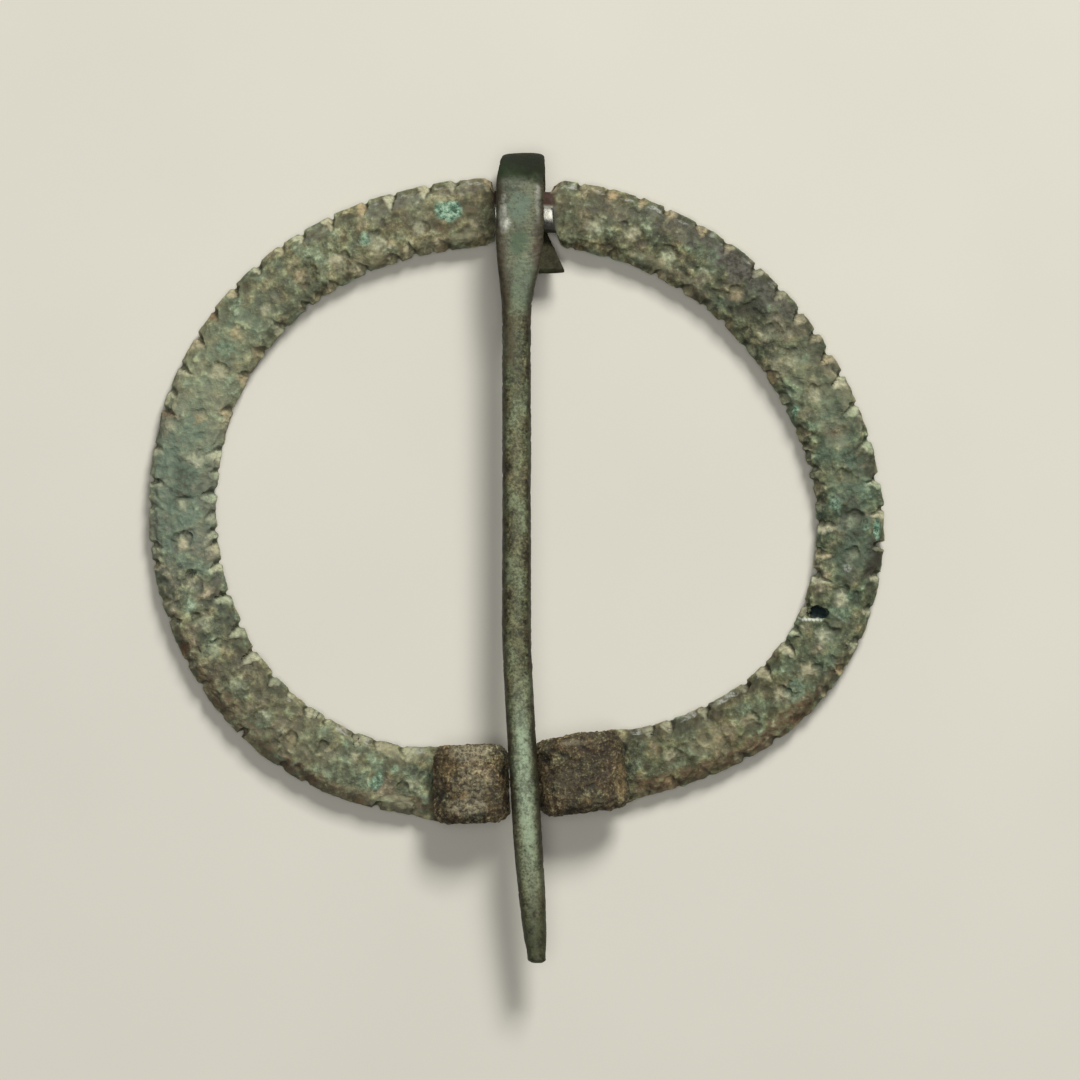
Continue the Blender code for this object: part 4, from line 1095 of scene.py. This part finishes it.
def strip_object(name, rows, masks, closed_start, material):
    """A mesh through rows of points that close round, with a fan over each closed end."""
    rows, masks = with_end_rings(rows, masks, at_start=False)
    if closed_start:
        rows, masks = with_end_rings(rows, masks, at_start=True)
    row_count, column_count = rows.shape[:2]
    row, column = np.meshgrid(np.arange(row_count - 1), np.arange(column_count), indexing="ij")
    beside = (column + 1) % column_count
    quads = np.stack([
        row * column_count + column,
        row * column_count + beside,
        (row + 1) * column_count + beside,
        (row + 1) * column_count + column,
    ], axis=-1).reshape(-1, 4)
    vertices = [rows.reshape(-1, 3), rows[-1].mean(axis=0, keepdims=True)]
    ring = np.arange(column_count)
    last = (row_count - 1) * column_count
    end_vertex = row_count * column_count
    fans = [np.stack([last + ring, last + (ring + 1) % column_count, np.full(column_count, end_vertex)], 1)]
    if closed_start:
        vertices.append(rows[0].mean(axis=0, keepdims=True))
        start_vertex = end_vertex + 1
        fans.append(np.stack([(ring + 1) % column_count, ring, np.full(column_count, start_vertex)], 1))
    vertices = np.vstack(vertices)
    fans = np.vstack(fans)

    middle = rows.mean(axis=1, keepdims=True)
    outward = np.sum(grid_normals(rows) * (rows - middle))
    if outward > 0.0:
        quads = quads[:, ::-1]
        fans = fans[:, ::-1]

    mesh = bpy.data.meshes.new(name)
    mesh.vertices.add(len(vertices))
    mesh.vertices.foreach_set("co", vertices.ravel())
    mesh.loops.add(quads.size + fans.size)
    mesh.loops.foreach_set("vertex_index", np.concatenate([quads.ravel(), fans.ravel()]))
    mesh.polygons.add(len(quads) + len(fans))
    starts = np.concatenate([np.arange(len(quads)) * 4, quads.size + np.arange(len(fans)) * 3])
    mesh.polygons.foreach_set("loop_start", starts)
    mesh.update(calc_edges=True)
    mesh.validate()
    mesh.shade_smooth()
    for mask_name, mask in masks.items():
        layer = mesh.attributes.new(mask_name, "FLOAT", "POINT")
        values = [np.ravel(mask), mask[-1].mean(keepdims=True)]
        if closed_start:
            values.append(mask[0].mean(keepdims=True))
        layer.data.foreach_set("value", np.concatenate(values).astype(np.float32))
    mesh.materials.append(material)
    item = bpy.data.objects.new(name, mesh)
    bpy.context.scene.collection.objects.link(item)
    return item


# Materials ------------------------------------------------------------------------------------------

# Sockets of a Mix node that is set to colours.
MIX_FACTOR, MIX_A, MIX_B, MIX_RESULT = 0, 6, 7, 2


def linear(hex_colour):
    """Linear colour with alpha from an sRGB hex value such as #80a0c0."""
    shares = [int(hex_colour[start:start + 2], 16) / 255.0 for start in (1, 3, 5)]
    return (*(s / 12.92 if s <= 0.04045 else ((s + 0.055) / 1.055) ** 2.4 for s in shares), 1.0)


def add_node(tree, kind, inputs=None, out=None, stops=(), **settings):
    """Adds a node with its settings, and gives each input a value or links it to a socket.

    Stops are the (position, colour) pairs of a colour ramp. With out, it returns that output socket.
    """
    made = tree.nodes.new(kind)
    for setting, value in settings.items():
        setattr(made, setting, value)
    for socket, value in (inputs or {}).items():
        if isinstance(value, bpy.types.NodeSocket):
            tree.links.new(value, made.inputs[socket])
        else:
            made.inputs[socket].default_value = value
    for index, (position, colour) in enumerate(stops):
        elements = made.color_ramp.elements
        element = elements[index] if index < 2 else elements.new(position)
        element.position = position
        element.color = linear(colour) if isinstance(colour, str) else colour
    return made if out is None else made.outputs[out]


def new_material(name):
    """An empty material with its output, its shader and the piece's own coordinates."""
    material = bpy.data.materials.new(name)
    material.use_nodes = True
    tree = material.node_tree
    tree.nodes.clear()
    shader = add_node(tree, "ShaderNodeBsdfPrincipled")
    add_node(tree, "ShaderNodeOutputMaterial", {"Surface": shader.outputs["BSDF"]})
    place = add_node(tree, "ShaderNodeTexCoord", out="Object")
    return material, tree, shader, place


def lay_coats(tree, colour, coats, breakup):
    """Lays colours over a base colour, each where its mask is. Thin coats are broken up by a pattern."""
    for mask, coat_colour, strength, thin in coats:
        share = add_node(tree, "ShaderNodeAttribute", out="Fac", attribute_name=mask)
        if thin:
            share = add_node(tree, "ShaderNodeMath", {0: share, 1: breakup}, 0, operation="MULTIPLY")
        weighed = {0: share, 1: strength}
        share = add_node(tree, "ShaderNodeMath", weighed, 0, operation="MULTIPLY", use_clamp=True)
        if isinstance(coat_colour, str):
            coat_colour = linear(coat_colour)
        inputs = {MIX_FACTOR: share, MIX_A: colour, MIX_B: coat_colour}
        colour = add_node(tree, "ShaderNodeMix", inputs, MIX_RESULT, data_type="RGBA")
    return colour


def weighed_sum(tree, start, parts):
    """Adds sockets, each times its weight, to a starting number or socket."""
    total = start
    for socket, weight in parts:
        inputs = {0: socket, 1: weight, 2: total}
        total = add_node(tree, "ShaderNodeMath", inputs, 0, operation="MULTIPLY_ADD")
    return total


# Coats over the crust, the lowest first: mask, colour, strength, and whether it is thin and so broken up.
HOOP_COATS = (
    ("underside", "#423f2c", 0.55, False),
    ("buff_side", "#635d45", 0.36, False),
    ("worn_side", "#808168", 0.36, False),
    ("pale_side", "#969a7d", 0.42, False),
    ("cool_side", "#86968a", 0.4, False),
    ("green_side", "#4a5f48", 0.3, False),
    ("olive_side", "#6a5f3c", 0.3, False),
    ("shaded", "#353226", 1.0, False),
    ("lifted", "#b5b294", 1.0, False),
    ("brown_edge", "#745642", 0.58, True),
    ("sea_green", "#637a6a", 0.6, True),
    ("purple_grey", "#6b6962", 0.7, True),
    ("rust", "#54412c", 0.8, True),
    ("cream", "#a8a280", 0.9, True),
    # Painted shade in the punch marks' ring grooves.
    ("ring", "#332e1e", 0.8, True),
    ("stain", "#26271f", 0.95, True),
    # Painted shade on the nicks' steep walls.
    ("nick_wall_painted_shade", "#262216", 0.9, False),
    # Paler crust with painted highlights on the rolls, then darker crust with painted shade at their ends.
    ("roll_pale_and_painted_highlight", "#9c957e", 0.85, True),
    ("roll_dark_and_painted_shade", "#1f1a10", 0.8, True),
    ("roll_warm", "#877048", 0.75, True),
    # Teal salts and painted shade inside the pit, then a painted highlight on its rim.
    ("hole", "#0d2327", 1.1, False),
    ("hole_rim_painted_highlight", "#d3d8cc", 1.0, False),
    ("neck_rust", "#3a2418", 1.0, False),
    ("glint", "#a6a9a3", 0.85, True),
)


def crusted_bronze(settings):
    """Cast bronze under a gritty mineral crust, as burial leaves it.

    The crust is dull and sandy, brown in its pits and pale on its high grains, with green copper salts in
    patches. The brown in the pits carries painted shade and the paleness of the high grains painted light.
    It hides nearly all of the metal, so only the worn neck shines.
    """
    material, tree, shader, place = new_material("cast_bronze_mineral_crust")
    noises = {}
    moved = {0: place, 1: (0.011, 0.017, 0.023)}
    elsewhere = add_node(tree, "ShaderNodeVectorMath", moved, 0, operation="ADD")
    # Sand in the crust is about 0.1 mm; it is drawn at 0.16 mm, the least that shows.
    for name, vector, lump_mm, detail, coarseness in (
        ("blotches", place, 1.3, 4.0, 0.6),
        ("tint", place, 0.8, 4.0, 0.6),
        ("grains", place, 0.45, 4.0, 0.65),
        ("sand", place, 0.16, 2.0, 0.7),
        ("salts", place, 0.3, 3.0, 0.7),
        ("flecks", elsewhere, 0.55, 3.0, 0.5),
        ("film", elsewhere, 1.6, 3.0, 0.5),
    ):
        inputs = {"Vector": vector, "Scale": 1.0 / (lump_mm * MM), "Detail": detail, "Roughness": coarseness}
        noises[name] = add_node(tree, "ShaderNodeTexNoise", inputs, "Fac")
    hollow, roll, neck, green_side, buff_side, tone = (
        add_node(tree, "ShaderNodeAttribute", out="Fac", attribute_name=name)
        for name in ("hollow", "roll", "neck", "green_side", "buff_side", "tone")
    )

    # Noise ranges widened to shares: from, to, share at from, share at to.
    greenness = weighed_sum(tree, -0.035, ((noises["tint"], 1.0), (green_side, 0.11)))
    shares = {}
    for name, source, low, high, to_low, to_high in (
        ("green", greenness, 0.42, 0.58, 0.0, 1.0),
        ("flecks", noises["blotches"], 0.45, 0.6, 0.05, 0.25),
        ("film", noises["tint"], 0.35, 0.65, 0.85, 0.4),
        ("specks", noises["sand"], 0.62, 0.72, 0.0, 0.3),
        ("breakup", noises["salts"], 0.42, 0.58, 0.15, 1.0),
        ("face_grain", noises["grains"], 0.36, 0.6, 0.42, 1.05),
        ("roughness", noises["grains"], 0.3, 0.7, 0.6, 0.9),
    ):
        inputs = {"Value": source, "From Min": low, "From Max": high, "To Min": to_low, "To Max": to_high}
        shares[name] = add_node(tree, "ShaderNodeMapRange", inputs, "Result")
    shares["film"] = weighed_sum(tree, shares["film"], ((roll, -0.4), (buff_side, -0.35)))

    # Pale grains stand high and brown dirt lies low, with painted light on the high grains and painted shade
    # in the low places; some of the crust is olive brown and some grey green.
    level = weighed_sum(tree, -0.83, (
        (hollow, -1.35), (noises["grains"], 2.2), (noises["sand"], 0.25), (noises["blotches"], 0.8),
    ))
    roll_level = weighed_sum(tree, -1.22, ((level, 0.8), (noises["sand"], 1.35), (noises["salts"], 1.3)))
    tones = {}
    for name, source, stops in (
        ("brown", level, (
            (0.0, "#2a230f"), (0.28, "#4b4327"), (0.5, tuple(settings.crust_brown)), (0.78, "#96916d"),
            (1.0, "#cbc5a6"),
        )),
        ("green", level, (
            (0.0, "#20271a"), (0.28, "#404630"), (0.5, tuple(settings.crust_green)), (0.78, "#89957a"),
            (1.0, "#c6d0b4"),
        )),
        ("flecks", noises["flecks"], (
            (0.36, "#65563f"), (0.46, "#706c5d"), (0.54, "#7c8468"), (0.62, "#aaa682"),
        )),
        ("film", noises["film"], (
            (0.38, "#776959"), (0.46, "#766f50"), (0.54, "#6d7759"), (0.62, "#627a67"),
        )),
        ("roll", roll_level, (
            (0.0, "#22170a"), (0.28, "#3f311b"), (0.5, "#5a4a30"), (0.74, "#7e6b4c"), (1.0, "#b3a07e"),
        )),
        ("salts", noises["salts"], ((0.38, "#33503f"), (0.5, tuple(settings.salts)), (0.62, "#a5bfa6"))),
        ("mark", tone, (
            (0.0, "#b3bfa0"), (0.35, tuple(settings.nick_pale)), (0.65, tuple(settings.nick_warm)),
            (1.0, "#66462f"),
        )),
    ):
        tones[name] = add_node(tree, "ShaderNodeValToRGB", {"Fac": source}, "Color", stops)
    colour = tones["brown"]
    for share, over, blend in (
        (shares["green"], tones["green"], "MIX"),
        (shares["flecks"], tones["flecks"], "MIX"),
        (roll, tones["roll"], "MIX"),
        (shares["film"], tones["film"], "COLOR"),
        (shares["specks"], linear("#c9c8ae"), "MIX"),
    ):
        inputs = {MIX_FACTOR: share, MIX_A: colour, MIX_B: over}
        colour = add_node(tree, "ShaderNodeMix", inputs, MIX_RESULT, data_type="RGBA", blend_type=blend)
    for coats, breakup in (
        (HOOP_COATS, "breakup"),
        ((("turquoise", tones["salts"], 1.0, False),), "breakup"),
        ((("mark", tones["mark"], 1.0, True),), "face_grain"),
        ((("neck", "#908f89", 1.0, False),), "breakup"),
    ):
        colour = lay_coats(tree, colour, coats, shares[breakup])
    tree.links.new(colour, shader.inputs["Base Color"])

    tree.links.new(weighed_sum(tree, shares["roughness"], ((neck, -0.5),)), shader.inputs["Roughness"])
    tree.links.new(neck, shader.inputs["Metallic"])
    height = weighed_sum(tree, 0.0, ((noises["grains"], 1.0), (noises["sand"], 0.45)))
    strength = weighed_sum(tree, 0.9, ((neck, -0.72), (buff_side, -0.4)))
    bump = {"Height": height, "Strength": strength, "Distance": 0.12 * MM}
    tree.links.new(add_node(tree, "ShaderNodeBump", bump, "Normal"), shader.inputs["Normal"])
    return material


# Coats over the patina, the lowest first, in the same terms.
PIN_COATS = (
    # Painted light: a paler crest, then a highlight down the shank.
    ("crest", "#7b8061", 0.35, True),
    ("shank_painted_highlight", "#a2b49a", 0.88, True),
    ("loop_front", "#6b6f61", 0.6, True),
    ("loop_brown", "#4c3c2f", 0.9, True),
    ("loop_teal", "#647a6c", 0.85, True),
    ("loop_green", "#465d46", 0.95, True),
    # A painted highlight on the loop's front.
    ("loop_painted_highlight", "#c2c4ba", 1.0, True),
    # Brown flecks and painted shade on the pin's flanks.
    ("flank_flecks_and_painted_shade", "#27220f", 0.92, True),
    ("pit", "#362b1e", 0.9, False),
    # Painted shade over the loop's bend and its top, on a dark green patina.
    ("bend_patina_and_painted_shade", "#223019", 0.93, False),
    ("bend_top_painted_shade", "#0d0f08", 0.93, False),
    ("bend_top_painted_shade", "#2b3120", 0.55, True),
    # Painted shade over the tail under the neck, mottled.
    ("tail", "#19160d", 0.82, False),
    ("tail", "#4b4933", 0.6, True),
    ("tip", "#343b24", 0.68, True),
)


def patinated_bronze(settings):
    """Hammered bronze with a smooth grey-green patina.

    Handling has kept the pin smoother than the hoop: a thin even patina over fine hammer marks, paler
    where it is worn, with a painted highlight down its crest, brown flecks and painted shade along its sides,
    and painted shade over the loop's bend and tail.
    """
    material, tree, shader, place = new_material("hammered_bronze_green_patina")
    noises = {}
    # Grain of the patina is under 0.1 mm; it is drawn at 0.17 mm, the least that shows.
    crosswise, lengthwise = (
        add_node(tree, "ShaderNodeVectorMath", {0: place, 1: squeeze}, 0, operation="MULTIPLY")
        for squeeze in ((0.2, 1.0, 1.0), (1.0, 0.5, 1.0))
    )
    for name, vector, lump_mm, detail, coarseness in (
        ("skin", place, 0.7, 5.0, 0.7),
        ("grain", place, 0.17, 2.0, 0.7),
        ("strokes", crosswise, 0.16, 2.0, 0.6),
        ("clouds", lengthwise, 1.1, 4.0, 0.65),
    ):
        inputs = {"Vector": vector, "Scale": 1.0 / (lump_mm * MM), "Detail": detail, "Roughness": coarseness}
        noises[name] = add_node(tree, "ShaderNodeTexNoise", inputs, "Fac")
    hollow, bend_patina_and_painted_shade, tail, loop_front = (
        add_node(tree, "ShaderNodeAttribute", out="Fac", attribute_name=name)
        for name in ("hollow", "bend_patina_and_painted_shade", "tail", "loop_front")
    )
    strokes = add_node(tree, "ShaderNodeMath", {0: noises["strokes"], 1: loop_front}, 0, operation="MULTIPLY")
    # The patina is darker in its low places: its own darker colour, with painted shade.
    level = weighed_sum(tree, -0.25, (
        (noises["skin"], 0.9), (noises["grain"], 0.75), (noises["clouds"], 0.65), (hollow, -0.4),
        (strokes, 0.7), (loop_front, -0.35),
    ))
    stops = (
        (0.54, "#221f10"),
        (0.68, tuple(settings.patina_dark)),
        (0.8, tuple(settings.patina)),
        (0.96, tuple(settings.patina_pale)),
    )
    colour = add_node(tree, "ShaderNodeValToRGB", {"Fac": level}, "Color", stops)
    # The patina runs from olive brown to grey green in soft clouds.
    film_stops = ((0.38, "#6c6048"), (0.5, "#696a4c"), (0.62, "#62705a"))
    film = add_node(tree, "ShaderNodeValToRGB", {"Fac": noises["clouds"]}, "Color", film_stops)
    inputs = {MIX_FACTOR: 0.6, MIX_A: colour, MIX_B: film}
    colour = add_node(tree, "ShaderNodeMix", inputs, MIX_RESULT, data_type="RGBA", blend_type="COLOR")
    mottle = weighed_sum(tree, 0.0, ((noises["skin"], 0.6), (noises["grain"], 0.4)))
    breakup, roughness = (
        add_node(tree, "ShaderNodeMapRange", inputs, "Result")
        for inputs in (
            {"Value": mottle, "From Min": 0.42, "From Max": 0.56, "To Min": 0.35},
            {"Value": noises["skin"], "From Min": 0.3, "From Max": 0.7, "To Min": 0.42, "To Max": 0.75},
        )
    )
    colour = lay_coats(tree, colour, PIN_COATS, breakup)
    tree.links.new(colour, shader.inputs["Base Color"])
    tree.links.new(weighed_sum(tree, roughness, ((bend_patina_and_painted_shade, 0.4), (tail, 0.5))), shader.inputs["Roughness"])
    shader.inputs["Metallic"].default_value = 0.2
    height = weighed_sum(tree, 0.0, ((noises["skin"], 1.0), (noises["grain"], 0.6)))
    bump = {"Height": height, "Strength": 0.65, "Distance": 0.06 * MM}
    tree.links.new(add_node(tree, "ShaderNodeBump", bump, "Normal"), shader.inputs["Normal"])
    return material


def matt_board(settings):
    """Smooth painted board: a dull even white with a faint mottle, so that it stays behind the brooch."""
    material, tree, shader, place = new_material("painted_board")
    cloudy = {"Vector": place, "Scale": 1.0 / (25.0 * MM), "Detail": 4.0}
    mottle = add_node(tree, "ShaderNodeTexNoise", cloudy, "Fac")
    pale = tuple(settings.floor)
    duller = (*(0.96 * part for part in pale[:3]), 1.0)
    colour = add_node(tree, "ShaderNodeValToRGB", {"Fac": mottle}, "Color", ((0.3, duller), (0.7, pale)))
    tree.links.new(colour, shader.inputs["Base Color"])
    shader.inputs["Roughness"].default_value = 0.9
    return material


# Settings -------------------------------------------------------------------------------------------


def length_property(name, description, millimetres):
    return FloatProperty(
        name=name, description=description, default=millimetres * MM, min=0.0, precision=6, unit="LENGTH"
    )


def colour_property(name, description, hex_colour):
    return FloatVectorProperty(
        name=name, description=description, default=linear(hex_colour), size=4, min=0.0, max=1.0,
        subtype="COLOR",
    )


class HoopSettings(bpy.types.PropertyGroup):
    nick_scale: FloatProperty(
        name="Nick size", description="Size of the nicks, 1 being as found", default=1.0, min=0.1, max=2.0
    )
    nick_wall: length_property("Nick wall", "Width of a nick's steep wall at the edge", 0.2)
    nick_depth: length_property("Nick depth", "How deep a nick cuts at the edge", 0.7)
    punch_depth: length_property("Punch depth", "Depth of a punch mark's ring", 0.17)
    crust_depth: length_property("Crust depth", "Roughness of the corroded skin", 0.115)
    crust_brown: colour_property("Brown crust", "Middle colour of the brown crust", "#6c6544")
    crust_green: colour_property("Green crust", "Middle colour of the green crust", "#5f6950")
    salts: colour_property("Copper salts", "Colour of the turquoise spots", "#6a8d78")
    nick_pale: colour_property("Pale nick", "Colour of most cut faces", "#c6c4a8")
    nick_warm: colour_property("Warm nick", "Colour of the buff cut faces", "#b8a37e")


class PinSettings(bpy.types.PropertyGroup):
    hammer_depth: length_property("Hammer marks", "Depth of the hammer marks", 0.03)
    skin_depth: length_property("Skin depth", "Roughness of the patina", 0.025)
    patina_dark: colour_property("Dark patina", "Colour of the low patina", "#47472e")
    patina: colour_property("Patina", "Main colour of the patina", "#626347")
    patina_pale: colour_property("Pale patina", "Colour where the patina is worn", "#8c8e6f")


class StageSettings(bpy.types.PropertyGroup):
    floor: colour_property("Floor", "Colour of the board under the brooch", "#dcd9d2")
    floor_size: FloatProperty(
        name="Floor size", description="Side of the board", default=3.0, min=0.5, unit="LENGTH"
    )
    key_power: FloatProperty(
        name="Key light", description="Power of the main soft light", default=3.75, min=0.0, unit="POWER"
    )
    sky_strength: FloatProperty(
        name="Surrounding light", description="Strength of the even light from all round", default=0.13,
        min=0.0,
    )


# Operators ------------------------------------------------------------------------------------------


def both_arms(line):
    """The left arm and the right arm."""
    return (
        Arm(line, 1.0, LEFT_ROLL_X, LEFT_ROLL_HALF_LENGTH),
        Arm(line, -1.0, RIGHT_ROLL_X, RIGHT_ROLL_HALF_LENGTH),
    )


def brooch_shift(arms):
    """From the hoop's own centre to the middle of the CAD hoop's box, along the floor."""
    plain = np.vstack([arm.shape(0.0, 0.0).reshape(-1, 3) for arm in arms])
    low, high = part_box("hoop")
    shift = 0.5 * (np.array(low) + np.array(high)) - 0.5 * (plain.min(axis=0) + plain.max(axis=0))
    shift[2] = 0.0
    return shift


class BROOCH_OT_hoop(bpy.types.Operator):
    """Builds the nicked and punched hoop with its rolled ends, one mesh to each arm"""

    bl_idname = "brooch.hoop"
    bl_label = "Build hoop"

    def execute(self, context):
        settings = context.scene.brooch_hoop
        arms = both_arms(HoopLine())
        shift = brooch_shift(arms)
        material = crusted_bronze(settings)
        for name, arm, seed in zip(("hoop_left_arm", "hoop_right_arm"), arms, ARM_SEEDS):
            points, masks = hoop_arm(arm, settings, seed)
            piece = strip_object(name, points + shift, masks, False, material)
            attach(piece, "hoop")
            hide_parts("hoop")
        return {"FINISHED"}


class BROOCH_OT_pin(bpy.types.Operator):
    """Builds the pin with its flattened loop"""

    bl_idname = "brooch.pin"
    bl_label = "Build pin"

    def execute(self, context):
        settings = context.scene.brooch_pin
        line = HoopLine()
        shift = brooch_shift(both_arms(line))
        points, masks = pin_shape(line.neck_y(), settings)
        piece = strip_object("pin_with_loop", points + shift, masks, True, patinated_bronze(settings))
        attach(piece, "pin")
        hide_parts("pin")
        return {"FINISHED"}


class BROOCH_OT_stage(bpy.types.Operator):
    """Lays the pale floor and sets the soft lights and the camera above the brooch"""

    bl_idname = "brooch.stage"
    bl_label = "Build stage"

    def execute(self, context):
        settings = context.scene.brooch_stage
        half = 0.5 * settings.floor_size
        mesh = bpy.data.meshes.new("floor_board")
        corners = [(-half, -half, 0.0), (half, -half, 0.0), (half, half, 0.0), (-half, half, 0.0)]
        mesh.from_pydata(corners, [], [(0, 1, 2, 3)])
        mesh.materials.append(matt_board(settings))
        floor = bpy.data.objects.new("floor_board", mesh)
        context.scene.collection.objects.link(floor)

        for name, place, size, share in SOFTBOXES:
            lamp = bpy.data.lights.new(name, "AREA")
            lamp.color = linear(LAMP_COLOUR)[:3]
            lamp.size = size
            lamp.energy = share * settings.key_power
            item = bpy.data.objects.new(name, lamp)
            item.location = place
            item.rotation_euler = (-Vector(place)).to_track_quat("-Z", "Y").to_euler()
            context.scene.collection.objects.link(item)

        world = bpy.data.worlds.new("studio_surround")
        world.use_nodes = True
        background = world.node_tree.nodes["Background"]
        background.inputs["Color"].default_value = linear(SKY_COLOUR)
        background.inputs["Strength"].default_value = settings.sky_strength
        context.scene.world = world
        context.scene.view_settings.view_transform = "Standard"

        lens = bpy.data.cameras.new("top_camera")
        lens.sensor_width = SENSOR_WIDTH
        lens.lens = SENSOR_WIDTH * CAMERA_HEIGHT / FRAME_WIDTH
        camera = bpy.data.objects.new("top_camera", lens)
        low, high = CAD_BOUNDS
        camera.location = 0.5 * (Vector(low) + Vector(high)) + Vector((*CAMERA_ASIDE, CAMERA_HEIGHT))
        context.scene.collection.objects.link(camera)
        context.scene.camera = camera
        return {"FINISHED"}


class BROOCH_PT_panel(bpy.types.Panel):
    """Buttons and settings for the brooch"""

    bl_label = "Penannular brooch"
    bl_idname = "BROOCH_PT_panel"
    bl_space_type = "VIEW_3D"
    bl_region_type = "UI"
    bl_category = "Brooch"

    def draw(self, context):
        scene = context.scene
        for operator, group in (
            (BROOCH_OT_hoop, scene.brooch_hoop),
            (BROOCH_OT_pin, scene.brooch_pin),
            (BROOCH_OT_stage, scene.brooch_stage),
        ):
            box = self.layout.box()
            box.operator(operator.bl_idname)
            for setting in group.bl_rna.properties:
                if setting.identifier not in ("rna_type", "name"):
                    box.prop(group, setting.identifier)


CLASSES = (
    HoopSettings,
    PinSettings,
    StageSettings,
    BROOCH_OT_hoop,
    BROOCH_OT_pin,
    BROOCH_OT_stage,
    BROOCH_PT_panel,
)


def register():
    for kind in CLASSES:
        bpy.utils.register_class(kind)
    bpy.types.Scene.brooch_hoop = PointerProperty(type=HoopSettings)
    bpy.types.Scene.brooch_pin = PointerProperty(type=PinSettings)
    bpy.types.Scene.brooch_stage = PointerProperty(type=StageSettings)


def unregister():
    del bpy.types.Scene.brooch_stage
    del bpy.types.Scene.brooch_pin
    del bpy.types.Scene.brooch_hoop
    for kind in reversed(CLASSES):
        bpy.utils.unregister_class(kind)


def main():
    register()
    bpy.ops.brooch.hoop()
    bpy.ops.brooch.pin()
    bpy.ops.brooch.stage()


if __name__ == "__main__":
    main()
